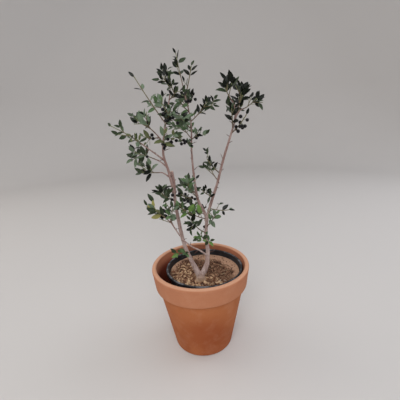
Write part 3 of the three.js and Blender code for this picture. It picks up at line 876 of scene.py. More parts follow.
@dataclass(frozen=True)
class TwigSkin:
    """The skin of thin twigs, brown below and green towards the tip of a young one."""

    name: str = "twig_skin"
    brown: Colour = linear("#6d574a")
    green: Colour = linear("#717a50")
    fleck: Cloud = Cloud(2.4, fade=Fade((0.5, 0.7), (0, 0.5)))
    grain: Cloud = Cloud(0.9, depth=0.1)

    def material(self) -> Material:
        """Build the material, which reads the attribute young.

        Returns:
            The material.
        """
        look = Look(self.name, roughness=0.7, specular_ior_level=0.3)
        colour = look.blend(look.attribute("young"), self.brown, self.green)
        look.feed("Base Color", look.blend(look.share(self.fleck), colour, self.brown))
        look.relief(self.grain)
        return look.material


@dataclass(frozen=True)
class LeafSkin:
    """One side of a leathery leaf, with a paler midrib. The UV map's U goes across the leaf."""

    name: str
    blade: Colour
    rib: Colour
    roughness: float
    shine: float
    rib_edge: Fade = Fade((0.035, 0), (0, 0.6))
    mottle: Cloud = Cloud(9, fade=Fade((0.3, 0.7), (0, 0.22)))
    grain: Cloud = Cloud(2.2, depth=0.12)

    def material(self) -> Material:
        """Build the material.

        Returns:
            The material.
        """
        look = Look(self.name, roughness=self.roughness, specular_ior_level=self.shine)
        across = look.out("ShaderNodeSeparateXYZ", {"Vector": look.out("ShaderNodeUVMap")})
        off_rib = look.maths("ABSOLUTE", look.maths("SUBTRACT", across, 0.5))
        colour = look.blend(look.share(self.mottle), self.blade, self.rib)
        rib = look.spread(off_rib, self.rib_edge)
        look.feed("Base Color", look.blend(rib, colour, self.rib))
        look.relief(self.grain)
        return look.material


@dataclass(frozen=True)
class BerrySkin:
    """The black skin of a ripe drupe, with a slight bloom."""

    black: Colour = linear("#070608")
    bloom: Colour = linear("#17161c")
    dust: Cloud = Cloud(3, 4, fade=Fade((0.45, 0.75)))

    def material(self) -> Material:
        """Build the material.

        Returns:
            The material.
        """
        look = Look("berry_skin", roughness=0.3, specular_ior_level=0.22)
        look.feed("Base Color", look.blend(look.share(self.dust), self.black, self.bloom))
        return look.material


@dataclass(frozen=True)
class StudioPaint:
    """The even pale paint of the studio's floor."""

    paint: Colour = linear("#cbc8c6")

    def material(self) -> Material:
        """Build the material."""
        return Look("studio_paint", base_color=self.paint, roughness=0.9, specular_ior_level=0.1).material


class Tone(Enum):
    """The greens of the leaves, each with its upper side, its underside and its midrib.

    The darkest is a dark green darkened by painted shade, the sage one is partly paler leaves and partly
    painted sheen, and the fresh and the lime ones are partly fresh greens and partly painted light.
    """

    # The darkest leaves, dealt to the upper crown: a dark green darkened by painted shade, on both sides.
    DEEP = ("#050804", "#1a2315", "#252f1c")
    MID = ("#2a3522", "#4b5942", "#55634a")
    # Sage leaves: partly paler leaves, partly painted sheen.
    SAGE = ("#5a6a54", "#7b8977", "#87957f")
    # Fresh and lime leaves of the low sprays: partly fresh greens, partly painted light.
    FRESH = ("#4a6440", "#66795a", "#7b8f66")
    LIME = ("#587a38", "#728c52", "#8ea46a")
    OLIVE = ("#545b38", "#6f7551", "#868b66")
    YELLOW = ("#8f8a49", "#98955c", "#aba678")

    def sides(self) -> tuple[Material, Material]:
        """Build the two materials of a leaf.

        Returns:
            The materials of the upper side and of the underside.
        """
        upper, under, rib = (linear(code) for code in self.value)
        name = self.name.lower()
        top = LeafSkin(f"leaf_{name}", upper, rib, roughness=0.36, shine=0.18)
        below = LeafSkin(f"leaf_{name}_under", under, rib, roughness=0.62, shine=0.12)
        return top.material(), below.material()


# The limbs


@dataclass(frozen=True)
class Limb:
    """A limb that tapers from one diameter to another and runs through a few places."""

    name: str
    foot: float
    tip: float
    through: tuple[Place, ...]
    parent: str = ""
    height: float = 0.0


LIMBS = (
    Limb("left_stem", 11.5, 2.6, (
        (-22, -42, 280), (-41, -44, 337), (-53, -52, 428), (-57, -58, 488), (-66, -61, 541),
        (-75, -62, 585), (-67, -52, 644), (-59, -30, 682), (-52, -8, 722))),
    Limb("centre_stem", 12.5, 2.8, (
        (19, -37, 276), (22, -30, 310), (19, -22, 350), (22, -12, 399), (2, 0, 447),
        (-5, 16, 503), (-8, 30, 571), (-6, 38, 650), (-21, 48, 737))),
    Limb("right_bough", 8.4, 4, (
        (34, -14, 430), (54, -24, 493), (70, -36, 556), (84, -48, 604), (96, -54, 643),
        (103, -58, 670)), "centre_stem", 388),
    Limb("thin_stem", 5, 2.8, (
        (1, -52, 319), (-20, -62, 337), (-44, -68, 364), (-66, -76, 408), (-75, -80, 421)),
        "centre_stem", 292),
    Limb("pruned_stub", 8.4, 7.4, ((-56, -51, 508), (-59, -50, 538)), "left_stem", 484),
    Limb("far_left_bough", 4.6, 2.6, ((-89, -70, 582), (-103, -76, 595), (-126, -84, 616)),
         "left_stem", 566),
    Limb("mid_left_bough", 4, 2.6, ((-85, -52, 563), (-98, -47, 569)), "left_stem", 550),
    Limb("low_left_bough", 3.8, 2.6, ((-78, -70, 538), (-88, -77, 541)), "left_stem", 524),
    Limb("high_left_bough", 4, 2.6, ((-77, -72, 617), (-81, -79, 625), (-88, -86, 635)), "left_stem", 602),
    Limb("crown_right_bough", 3.4, 2.4, ((110, -54, 673), (119, -51, 677)), "right_bough", 660),
    Limb("crown_left_bough", 3.6, 2.6, ((98, -65, 674), (93, -70, 690), (88, -72, 698)), "right_bough", 646),
)

LIMB_STEPS_PER_SPAN = 2
LIMB_TAPER = 0.85
CURVE_TENSION = 0.5
NEARLY_UPRIGHT = 0.95


def square_to(direction: Array) -> Array:
    """Return a direction square to another one, level where that is possible."""
    upright = abs(direction[2]) > NEARLY_UPRIGHT
    return unit(np.cross(np.array([1.0, 0, 0]) if upright else np.array([0, 0, 1.0]), direction))


def leaning(axis: Array, bearing: float, angle: float) -> Array:
    """Lean away from an axis.

    Args:
        axis: The direction that it leans away from.
        bearing: Which side of the axis it leans to, in radians round it.
        angle: How far it leans, in radians.

    Returns:
        The leaning direction.
    """
    across = square_to(axis)
    side = across * math.cos(bearing) + np.cross(axis, across) * math.sin(bearing)
    return axis * math.cos(angle) + side * math.sin(angle)


def heading(turn: float, rise: float) -> Array:
    """Return a direction from its turn round from +X and its rise above level, in degrees."""
    t, r = math.radians(turn), math.radians(rise)
    return np.array([math.cos(r) * math.cos(t), math.cos(r) * math.sin(t), math.sin(r)])


@dataclass
class LimbLine:
    """The middle line of a limb and its radius along it."""

    limb: Limb
    points: Array
    radii: Array

    @classmethod
    def through(cls, limb: Limb, places: Array, steps_per_span: int) -> "LimbLine":
        """Lead a smooth line through places.

        Args:
            limb: The limb, which gives the diameters at the line's ends.
            places: The places, from foot to tip.
            steps_per_span: How many steps the line has from one place to the next.

        Returns:
            The line.
        """
        before = np.concatenate([[2 * places[0] - places[1]], places, [2 * places[-1] - places[-2]]])
        count = steps_per_span * (len(places) - 1)
        shares = np.arange(count + 1) / count
        span = np.minimum((shares * (len(places) - 1)).astype(int), len(places) - 2)
        t = (shares * (len(places) - 1) - span)[:, None]
        p0, p1, p2, p3 = (before[span + i] for i in range(4))
        out, into = CURVE_TENSION * (p2 - p0), CURVE_TENSION * (p3 - p1)
        points = (2 * t ** 3 - 3 * t ** 2 + 1) * p1 + (t ** 3 - 2 * t ** 2 + t) * out
        points = points + (3 * t ** 2 - 2 * t ** 3) * p2 + (t ** 3 - t ** 2) * into
        radii = (limb.foot + (limb.tip - limb.foot) * shares ** LIMB_TAPER) / 2
        return cls(limb, points, radii)

    def at_height(self, height: float) -> Array:
        """Return where the line first passes a height.

        Args:
            height: The height.

        Returns:
            The place.
        """
        after = int(np.argmax(self.points[:, 2] >= height))
        low, high = self.points[after - 1], self.points[after]
        return low + (high - low) * (height - low[2]) / (high[2] - low[2])

    @property
    def end_direction(self) -> Array:
        """The direction in which the line ends."""
        return unit(self.points[-1] - self.points[-2])


def limb_places(limb: Limb, lines: dict[str, LimbLine]) -> Array:
    """Return the places that a limb runs through, from the middle of its parent where it has one.

    Args:
        limb: The limb.
        lines: The lines of the limbs before it, by name.

    Returns:
        The places, from foot to tip.
    """
    places = np.array(limb.through, float)
    if not limb.parent:
        return places
    return np.concatenate([[lines[limb.parent].at_height(limb.height)], places])


def limb_lines() -> dict[str, LimbLine]:
    """Lead a line through every limb as the source does.

    Returns:
        The lines by the limbs' names.
    """
    lines: dict[str, LimbLine] = {}
    for limb in LIMBS:
        lines[limb.name] = LimbLine.through(limb, limb_places(limb, lines), LIMB_STEPS_PER_SPAN)
    return lines


# The growing rule


class Seeded:
    """A seeded row of numbers from 0 to 1, the same as the source's."""

    FACTOR = 1664525
    SHIFT = 1013904223
    SIZE = 2 ** 32
    SKIPPED = 3

    def __init__(self, seed: int) -> None:
        """Start the row, and skip its first numbers.

        Args:
            seed: Which row it is.
        """
        self.state = seed
        for _ in range(self.SKIPPED):
            self.next()

    def next(self) -> float:
        """Return the next number."""
        self.state = (self.state * self.FACTOR + self.SHIFT) % self.SIZE
        return self.state / self.SIZE

    def between(self, limits: Span) -> float:
        """Return the next number, spread between two limits."""
        return limits[0] + (limits[1] - limits[0]) * self.next()


Tones = tuple[Tone, ...]

# SHADE and DARK deal mostly the darkest tone, painted shade, to the upper crown and inner sprays.
SHADE: Tones = (Tone.DEEP, Tone.DEEP, Tone.DEEP, Tone.MID)
DARK: Tones = (Tone.DEEP, Tone.MID)
GREEN: Tones = (Tone.MID, Tone.DEEP, Tone.MID, Tone.SAGE)
# DARK_AND_SAGE and the sage group deal the sage tone, which is partly painted sheen.
DARK_AND_SAGE: Tones = (Tone.SAGE, Tone.DEEP, Tone.MID)
SAGE: Tones = (Tone.SAGE, Tone.MID, Tone.SAGE, Tone.FRESH)
# This group deals the fresh and lime tones, partly painted light, to the low sprays.
FRESH: Tones = (Tone.FRESH, Tone.LIME, Tone.FRESH, Tone.MID)
OLIVE: Tones = (Tone.OLIVE, Tone.MID, Tone.OLIVE, Tone.SAGE)
TURNING: Tones = (Tone.YELLOW, Tone.MID, Tone.SAGE, Tone.OLIVE, Tone.MID, Tone.MID)


@dataclass(frozen=True)
class Spray:
    """A spray of foliage: where its stem makes for, and how much grows on it.

    The last three go beyond the source: the tones that its leaves are dealt, how many finer twigs it
    has, and how many more berries hang from it.
    """

    name: str
    limb: str
    height: float = 0.0
    turn: float = 0.0
    rise: float = 0.0
    reach: float = 50.0
    bow: float = 0.12
    internode: float = 10.5
    pairs: int = 4
    twigs: int = 2
    twig_reach: float = 32.0
    twig_pairs: int = 2
    leaf: float = 28.0
    berries: int = 0
    space: float = 52.0
    seed: int = 0
    tones: Tones = GREEN
    fine: float = 1.0
    bunch: int = 0

    @property
    def node(self) -> str:
        """The model's node that the spray stands for."""
        return f"foliage_{self.name}"


SPRAYS = (
    Spray("top_shoot", "centre_stem", turn=165, rise=80, reach=80, pairs=5, twigs=1, twig_pairs=1, seed=110,
          fine=0, tones=SHADE),
    Spray("top_right", "centre_stem", 715, turn=-40, rise=70, reach=74, pairs=3, twigs=0, leaf=25, seed=2,
          tones=SHADE, fine=0.4),
    Spray("top_left", "left_stem", turn=-162, rise=62, reach=40, seed=3, tones=DARK),
    Spray("upper_tuft", "left_stem", 706, turn=-60, rise=22, reach=44, pairs=3, leaf=25, seed=4, tones=DARK,
          fine=1.6),
    Spray("upper_mid", "centre_stem", 696, turn=-68, rise=26, reach=44, pairs=2, twigs=1, leaf=24,
          berries=5, seed=5, tones=SHADE, bunch=10, fine=0.8),
    Spray("upper_right", "centre_stem", 650, turn=-18, rise=46, reach=66, twigs=3, leaf=26, seed=6,
          tones=DARK, fine=1.2),
    Spray("upper_left_back", "left_stem", 680, turn=112, rise=26, reach=58, twigs=1, seed=7, tones=SAGE,
          fine=1.4),
    Spray("upper_back", "centre_stem", 690, turn=110, rise=22, reach=60, pairs=3, seed=8, tones=DARK),
    Spray("berry_tuft", "left_stem", 645, turn=-66, rise=42, reach=56, berries=4, seed=9, fine=1.2,
          bunch=12, tones=DARK_AND_SAGE),
    Spray("centre_upper", "centre_stem", 676, turn=-116, rise=30, reach=56, seed=4, fine=1.3, tones=SAGE),
    Spray("centre_front", "centre_stem", 632, turn=-124, rise=38, reach=70, pairs=5, twigs=3, leaf=31,
          seed=10, tones=SAGE, fine=1.3),
    Spray("centre_right", "centre_stem", 604, turn=-52, rise=34, reach=36, pairs=2, twigs=1, leaf=25,
          berries=1, seed=11, bunch=3, fine=0.8),
    Spray("centre_berries", "centre_stem", 594, turn=-130, rise=20, reach=54, pairs=2, twigs=1, leaf=23,
          berries=5, seed=12, fine=0.5, bunch=6, tones=SAGE),
    Spray("centre_back", "centre_stem", 606, turn=116, rise=34, reach=88, twig_pairs=1, leaf=29, seed=13,
          tones=SAGE, fine=1.3),
    Spray("left_tuft", "left_stem", 594, turn=-78, rise=40, reach=60, berries=3, seed=14, tones=OLIVE,
          bunch=7, fine=1.3),
    Spray("high_left", "high_left_bough", turn=168, rise=36, reach=46, twigs=3, leaf=29, seed=116,
          tones=DARK_AND_SAGE, fine=1.4),
    Spray("long_twig", "left_stem", 652, turn=-161, rise=59, reach=122, bow=0.04, internode=34, pairs=3,
          twigs=0, leaf=27, seed=16, fine=0),
    Spray("far_left", "far_left_bough", turn=177, rise=32, reach=70, internode=24, pairs=3, twigs=1,
          leaf=25, seed=64, fine=0.4),
    Spray("left_young", "far_left_bough", 610, turn=-127, rise=37, reach=42, twigs=1, leaf=20, seed=18,
          tones=OLIVE, fine=1.2),
    Spray("left_inner", "high_left_bough", 623, turn=150, rise=2, reach=46, pairs=3, twigs=1, leaf=24,
          berries=1, seed=19, tones=OLIVE, bunch=2),
    Spray("mid_left", "mid_left_bough", turn=168, rise=18, reach=52, pairs=5, twigs=3, leaf=30, seed=20,
          bunch=1, fine=1.3),
    Spray("low_left", "low_left_bough", turn=-150, rise=10, reach=40, leaf=30, seed=21, fine=1.1),
    Spray("left_lower", "left_stem", 462, turn=-135, rise=36, reach=52, pairs=5, leaf=29, berries=1,
          seed=22, bunch=1, fine=1.1),
    Spray("thin_tip", "thin_stem", turn=-173, rise=42, reach=60, pairs=5, seed=23, tones=TURNING, fine=0.5),
    Spray("thin_upper", "thin_stem", 414, turn=-70, rise=56, reach=58, pairs=3, seed=24, tones=SAGE),
    Spray("thin_back", "thin_stem", 392, turn=124, rise=46, reach=60, twigs=1, seed=25),
    Spray("lush", "centre_stem", 451, turn=-117, rise=45, reach=72, pairs=5, twigs=3, leaf=29, seed=26,
          tones=SAGE, fine=1.3),
    Spray("lush_left", "centre_stem", 448, turn=-132, rise=24, reach=72, berries=2, seed=12, bunch=5,
          fine=1.2),
    Spray("lush_back", "centre_stem", 458, turn=105, rise=10, reach=84, twig_pairs=1, leaf=29, seed=29),
    Spray("lower_mid", "centre_stem", 394, turn=-136, rise=34, reach=112, internode=12, pairs=6, twigs=3,
          leaf=30, seed=30, tones=FRESH, fine=1.3),
    Spray("lower_front", "centre_stem", 356, turn=-119, rise=40, reach=104, internode=12, pairs=5, twigs=3,
          seed=31, fine=0.8),
    Spray("lower_back", "centre_stem", 405, turn=118, rise=10, reach=86, twig_pairs=1, leaf=29, seed=32),
    Spray("low_stem", "centre_stem", 325, turn=-110, rise=48, reach=70, pairs=3, twigs=1, leaf=24, seed=33,
          tones=FRESH, fine=1.4),
    Spray("low_right", "centre_stem", 372, turn=-50, rise=50, reach=62, leaf=27, seed=34, tones=SAGE),
    Spray("low_right_back", "right_bough", 424, turn=18, rise=-13, reach=60, internode=22, pairs=2, twigs=1,
          leaf=26, seed=35, fine=0),
    Spray("inner_upper", "right_bough", 522, turn=-143, rise=46, reach=58, pairs=3, twig_reach=38, leaf=22,
          seed=36, tones=DARK, fine=0),
    Spray("inner_lower", "right_bough", 458, turn=-136, rise=32, reach=48, pairs=3, leaf=21, seed=37,
          tones=DARK, fine=0.5),
    Spray("inner_back", "right_bough", 502, turn=106, rise=24, reach=74, pairs=3, twigs=1, leaf=27, seed=38,
          tones=DARK, fine=0.4),
    Spray("crown_left", "crown_left_bough", turn=-160, rise=60, reach=28, leaf=33, seed=39, tones=SHADE),
    Spray("crown_mid", "right_bough", turn=-5, rise=74, reach=50, pairs=5, twigs=3, leaf=30, seed=106,
          tones=SHADE, fine=1.6),
    Spray("crown_back", "right_bough", 655, turn=72, rise=42, reach=88, leaf=29, seed=41, tones=DARK),
    Spray("crown_right", "crown_right_bough", turn=0, rise=36, reach=36, twigs=3, leaf=27, seed=130,
          tones=SHADE, fine=1.8),
    Spray("crown_front", "right_bough", 634, turn=-100, rise=48, reach=60, twigs=1, leaf=27, seed=43,
          tones=DARK, fine=0.6),
    Spray("crown_berries", "right_bough", 622, turn=-42, rise=45, reach=60, pairs=1, twigs=0, leaf=22,
          berries=4, seed=44, tones=DARK, fine=0, bunch=8),
    Spray("low_sprig", "left_stem", 316, turn=-136, rise=14, reach=48, pairs=3, twigs=1, leaf=24, seed=45,
          tones=FRESH, fine=0),
)


@dataclass(frozen=True)
class Chance:
    """The least and the most that chance gives each thing that it varies."""

    first_bearing: Span = (0.0, math.pi)
    internode: Span = (0.85, 1.15)
    bearing: Span = (-0.3, 0.3)
    lean: Span = (-0.15, 0.2)
    leaf_length: Span = (0.84, 1.12)
    roll: Span = (-0.5, 0.5)
    twig_place: Span = (-0.04, 0.04)
    twig_bearing: Span = (-0.5, 0.5)
    twig_reach: Span = (0.85, 1.15)
    twig_lean: Span = (0.75, 1.05)
    berry_bearing: Span = (-0.2, 0.2)
    berry_size: Span = (0.9, 1.1)


@dataclass(frozen=True)
class GrowthRule:
    """The sizes of the rule that the source grows every spray by."""

    stem_radius: float = 1.5
    stem_steps: int = 3
    space_steps: int = 4
    stem_bend: float = 0.35
    bare_stem: float = 15.0
    bare_twig: float = 8.0
    twig_radius: float = 1.1
    first_twig: float = 0.32
    twig_stretch: float = 0.42
    twig_shrink: float = 0.12
    first_twig_reach: float = 1.1
    lift: float = 0.15
    spiral: float = 2.4
    tip_pair: float = 0.1
    facing: float = 0.4
    leaf_width: float = 0.45
    leaf_neck: float = 0.3
    leaf_spacing: float = 4.5
    twig_spacing: float = 2.5
    berry_radius: float = 4.0
    berry_sink: float = 0.7
    berry_step: float = 6.6
    berry_spacing: float = 8.2
    limb_clearance: float = 0.8
    neighbour_clearance: float = 1.2
    pair_leans: tuple[float, ...] = (0.45, 0.8, 0.98)
    pair_sizes: tuple[float, ...] = (0.66, 0.88, 1.0)
    chance: Chance = Chance()


@dataclass(frozen=True)
class FineRule:
    """How the finer twigs go on from the source's, inside the same spaces."""

    step: float = 25.0
    first: float = 0.12
    last: float = 0.96
    reach: Span = (11.0, 20.0)
    lean: Span = (0.55, 1.05)
    radius: float = 0.75
    bare: float = 4.0
    clear_from: float = 0.25
    pairs: int = 2
    internode: float = 9.0
    leaf: float = 0.97
    leaf_spacing: float = 4.0
    twig_spacing: float = 1.8
    bunch_places: tuple[float, ...] = (0.35, 0.55, 0.75)
    bunch_spread: Span = (-0.07, 0.07)
    bunch_lean: Span = (0.9, 1.7)
    stalk: Span = (4.5, 9.0)
    bunch_pull: Place = (0.0, -0.5, -0.35)
    berry_spacing: float = 7.0
    seed: int = 500


LEAF_OUTLINE = ((0, 0), (0.32, 1), (0.74, 0.8), (1, 0), (0.74, -0.8), (0.32, -1))
LIGHT = np.array([-0.1, -0.8, 0.6])
MEASURING_STEPS = 40
TINY = 1e-9


@dataclass
class Leaf:
    """A leaf: where it starts, which way it points and lies, and how long it is."""

    root: Array
    direction: Array
    blade: Array
    length: float

    def outline(self, width: float) -> Array:
        """Return its outline, from its root round to its root again.

        Args:
            width: How wide it is, as a share of its length.

        Returns:
            The corners of the outline.
        """
        shape = np.array(LEAF_OUTLINE)
        along = shape[:, :1] * self.length * self.direction
        return self.root + along + shape[:, 1:] * width * self.length / 2 * self.blade

    @property
    def face(self) -> Array:
        """The direction that its upper side looks in."""
        return np.cross(self.blade, self.direction)


@dataclass
class Berry:
    """A berry, and the side of its twig that it sits on or hangs from by a stalk."""

    centre: Array
    radius: float
    side: Array
    foot: Array


@dataclass
class Shoot:
    """A stem or twig of a spray, on a curve from its foot to its tip."""

    foot: Array
    middle: Array
    tip: Array
    radius: float
    bare: float
    leaves: list[Leaf] = field(default_factory=list)
    nodes: list[float] = field(default_factory=list)
    at_tip: bool = False

    @classmethod
    def straight(cls, foot: Array, tip: Array, radius: float, bare: float) -> "Shoot":
        """Make a straight one."""
        return cls(foot, (foot + tip) / 2, tip, radius, bare)

    def point(self, share: float) -> Array:
        """Return the place at a share of the way along."""
        rest = 1 - share
        return rest * rest * self.foot + 2 * rest * share * self.middle + share * share * self.tip

    def tangent(self, share: float) -> Array:
        """Return the direction at a share of the way along."""
        return unit((1 - share) * (self.middle - self.foot) + share * (self.tip - self.middle))

    def line(self, steps: int) -> Array:
        """Return places along it at even shares."""
        return np.array([self.point(i / steps) for i in range(steps + 1)])

    def length(self) -> float:
        """Return how long it is."""
        line = self.line(MEASURING_STEPS)
        return float(np.linalg.norm(line[1:] - line[:-1], axis=1).sum())


def held_quotient(top: Array, bottom: Array) -> Array:
    """Divide, and hold the result between 0 and 1.

    Args:
        top: What is divided.
        bottom: What it is divided by. Where that is as good as nothing, the result is 0.

    Returns:
        The quotients, in the shape that the two give together.
    """
    top, bottom = np.broadcast_arrays(top, bottom)
    quotient = np.divide(top, bottom, out=np.zeros(top.shape), where=bottom > TINY)
    return np.clip(quotient, 0, 1)


def stretch_distance(a: Array, b: Array, c: Array, d: Array) -> Array:
    """Return the shortest distances between straight stretches.

    Args:
        a: Where the first ones start.
        b: Where the first ones end.
        c: Where the second ones start.
        d: Where the second ones end.

    Returns:
        The distances, in the shape that the four give together.
    """
    u, v, w = b - a, d - c, a - c
    uu, uv, vv = (u * u).sum(-1), (u * v).sum(-1), (v * v).sum(-1)
    uw, vw = (u * w).sum(-1), (v * w).sum(-1)
    s = held_quotient(uv * vw - vv * uw, uu * vv - uv * uv)
    t = held_quotient(uv * s + vw, vv)
    s = held_quotient(uv * t - uw, uu)
    return np.linalg.norm(a + u * s[..., None] - c - v * t[..., None], axis=-1)


@dataclass
class Growth:
    """What grows on one spray."""

    spray: Spray
    stem: Shoot
    twigs: list[Shoot] = field(default_factory=list)
    leaves: list[Leaf] = field(default_factory=list)
    berries: list[Berry] = field(default_factory=list)
    fine: list[Shoot] = field(default_factory=list)

    @property
    def shoots(self) -> list[Shoot]:
        """The stem and every twig on it."""
        return [self.stem, *self.twigs, *self.fine]


class Gardener:
    """Grows every spray, first as the source does and then on to finer twigs."""

    def __init__(self, limbs: dict[str, LimbLine], box: tuple[Vector, Vector]) -> None:
        """Measure the limbs and lay out the stems.

        Args:
            limbs: The lines of the limbs that the sprays stand on, by name.
            box: The box in metres that nothing grows out of.
        """
        self.limbs = limbs
        self.box = np.array(box) / MM
        self.rule = GrowthRule()
        self.fine = FineRule()
        points = [line.points for line in limbs.values()]
        radii = [line.radii for line in limbs.values()]
        self.limb_starts = np.concatenate([p[:-1] for p in points])
        self.limb_ends = np.concatenate([p[1:] for p in points])
        self.limb_radii = np.concatenate([np.maximum(r[:-1], r[1:]) for r in radii])
        self.stems = {spray.name: self.spray_stem(spray) for spray in SPRAYS}
        lines = np.array([stem.line(self.rule.space_steps) for stem in self.stems.values()])
        self.stem_starts, self.stem_ends = lines[:, :-1], lines[:, 1:]

    def spray_stem(self, spray: Spray) -> Shoot:
        """Lead the main stem of a spray away from the limb that carries it.

        Args:
            spray: The spray. Without a height it goes on from the limb's tip.

        Returns:
            The stem.
        """
        rule, limb = self.rule, self.limbs[spray.limb]
        aim = heading(spray.turn, spray.rise)
        if spray.height:
            foot = limb.at_height(spray.height)
            tip = foot + aim * spray.reach
            droop = np.array([0, 0, -1.0]) + aim * aim[2]
            middle = (foot + tip) / 2 + droop * spray.bow * spray.reach
            return Shoot(foot, middle, tip, rule.stem_radius, rule.bare_stem)
        along = limb.end_direction
        foot = limb.points[-1] + along * (CLEARANCE + COLLAR)
        middle = foot + along * rule.stem_bend * spray.reach
        tip = foot + aim * spray.reach
        return Shoot(foot, middle, tip, limb.radii[-1], rule.bare_stem, at_tip=True)

    def leaf_pairs(self, shoot: Shoot, pairs: int, spray: Spray, random: Seeded) -> list[Leaf]:
        """Put pairs of leaves on a shoot, from its tip down, each square to the one above it.

        Args:
            shoot: The shoot, which keeps where they stand.
            pairs: How many there are.
            spray: The spray, which gives their length and distance.
            random: The row that chance is drawn from.

        Returns:
            The leaves, without those on the bare foot of the shoot.
        """
        rule, chance = self.rule, self.rule.chance
        leaves = []
        length = shoot.length()
        first_bearing = random.between(chance.first_bearing)
        for pair in range(pairs):
            from_tip = rule.tip_pair + pair * random.between(chance.internode)
            share = 1 - from_tip * spray.internode / length
            kind = min(pair, len(rule.pair_leans) - 1)
            for side in (0, 1):
                quarter_turn = (pair % 2) * math.pi / 2
                bearing = first_bearing + quarter_turn + side * math.pi + random.between(chance.bearing)
                lean = rule.pair_leans[kind] + random.between(chance.lean)
                leaf_length = spray.leaf * rule.pair_sizes[kind] * random.between(chance.leaf_length)
                roll = random.between(chance.roll)
                if share * length < shoot.bare:
                    continue
                axis = shoot.tangent(share)
                direction = leaning(axis, bearing, lean)
                blade = unit(np.cross(direction, axis * rule.facing + LIGHT))
                turned = blade * math.cos(roll) + np.cross(direction, blade) * math.sin(roll)
                leaves.append(Leaf(shoot.point(share), direction, turned, leaf_length))
                shoot.nodes.append(share)
        return leaves

    def grown(self, spray: Spray) -> Growth:
        """Grow everything that the rule puts on a spray, before what has no room is left out.

        Args:
            spray: The spray.

        Returns:
            Its whole growth. The leaves are still with their shoots.
        """
        rule, chance = self.rule, self.rule.chance
        random = Seeded(spray.seed)
        stem = self.stems[spray.name]
        growth = Growth(spray, stem)
        stem.leaves = self.leaf_pairs(stem, spray.pairs, spray, random)
        for i in range(spray.twigs):
            place = rule.first_twig + rule.twig_stretch * i / max(spray.twigs - 1, 1)
            share = place + random.between(chance.twig_place)
            bearing = i * rule.spiral + random.between(chance.twig_bearing)
            full_reach = spray.twig_reach * (rule.first_twig_reach - rule.twig_shrink * i)
            reach = full_reach * random.between(chance.twig_reach)
            foot = stem.point(share)
            aim = leaning(stem.tangent(share), bearing, random.between(chance.twig_lean))
            tip = foot + unit(aim + np.array([0, 0, rule.lift])) * reach
            twig = Shoot.straight(foot, tip, rule.twig_radius, rule.bare_twig)
            twig.leaves = self.leaf_pairs(twig, spray.twig_pairs, spray, random)
            growth.twigs.append(twig)
        for i in range(spray.berries):
            share = (rule.bare_stem + i * rule.berry_step) / spray.reach
            bearing = i * rule.spiral + random.between(chance.berry_bearing)
            radius = rule.berry_radius * random.between(chance.berry_size)
            growth.berries.append(self.berry_on(stem, share, bearing, radius))
        return growth

    def berry_on(self, shoot: Shoot, share: float, bearing: float, radius: float) -> Berry:
        """Set a berry against a shoot.

        Args:
            shoot: The shoot.
            share: How far along it the berry sits.
            bearing: Which side of it the berry is on, in radians round it.
            radius: The berry's radius.

        Returns:
            The berry.
        """
        side = leaning(shoot.tangent(share), bearing, math.pi / 2)
        foot = shoot.point(share)
        return Berry(foot + side * (radius - self.rule.berry_sink), radius, side, foot)

    def inside_space(self, points: Array, spray: Spray) -> bool:
        """Return whether points lie near a spray's stem, and nearer to it than to another spray's.

        Args:
            points: The points.
            spray: The spray.

        Returns:
            Whether all of them do.
        """
        if np.any(points < self.box[0]) or np.any(points > self.box[1]):
            return False
        spots = points[:, None, None]
        reach = stretch_distance(spots, spots, self.stem_starts, self.stem_ends).min(axis=-1)
        own = [other.name for other in SPRAYS].index(spray.name)
        others = np.delete(reach, own, axis=1).min(axis=1)
        near = reach[:, own] <= spray.space
        return bool(np.all(near & (others >= reach[:, own] + self.rule.neighbour_clearance)))

    def clear_of_limbs(self, start: Array, end: Array, half_width: float) -> bool:
        """Return whether a straight stretch with a half width keeps clear of every limb."""
        room = self.limb_radii + half_width + self.rule.limb_clearance
        return bool(np.all(stretch_distance(start, end, self.limb_starts, self.limb_ends) >= room))

    def keep_leaves(self, growth: Growth, leaves: list[Leaf], leaf_spacing: float,
                    twig_spacing: float) -> None:
        """Add to a growth the leaves that have room, in the order they grew.

        Args:
            growth: The growth, with the leaves that it keeps already.
            leaves: The leaves that may be added.
            leaf_spacing: How far a leaf keeps from another.
            twig_spacing: How far a leaf keeps from a twig.
        """
        rule = self.rule
        wood = np.array([shoot.line(rule.stem_steps) for shoot in growth.shoots])
        twig_starts, twig_ends = wood[:, :-1].reshape(-1, 3), wood[:, 1:].reshape(-1, 3)
        necks = [leaf.root + leaf.direction * leaf.length * rule.leaf_neck for leaf in growth.leaves]
        tips = [leaf.root + leaf.direction * leaf.length for leaf in growth.leaves]
        for leaf in leaves:
            outline = leaf.outline(rule.leaf_width)
            root, tip = outline[0], outline[3]
            neck = root + (tip - root) * rule.leaf_neck
            if necks and stretch_distance(neck, tip, np.array(necks), np.array(tips)).min() <= leaf_spacing:
                continue
            if stretch_distance(neck, tip, twig_starts, twig_ends).min() <= twig_spacing:
                continue
            clear = self.clear_of_limbs(root, tip, rule.leaf_width * leaf.length / 2)
            if clear and self.inside_space(outline, growth.spray):
                growth.leaves.append(leaf)
                necks.append(neck)
                tips.append(tip)

    def keep_berry(self, growth: Growth, berry: Berry, spacing: float) -> None:
        """Add a berry to a growth if it has room.

        Args:
            growth: The growth.
            berry: The berry.
            spacing: How far it keeps from the ones that are there.
        """
        centre = berry.centre
        apart = all(np.linalg.norm(other.centre - centre) > spacing for other in growth.berries)
        inside = apart and self.inside_space(centre[None], growth.spray)
        if inside and self.clear_of_limbs(centre, centre, berry.radius):
            growth.berries.append(berry)

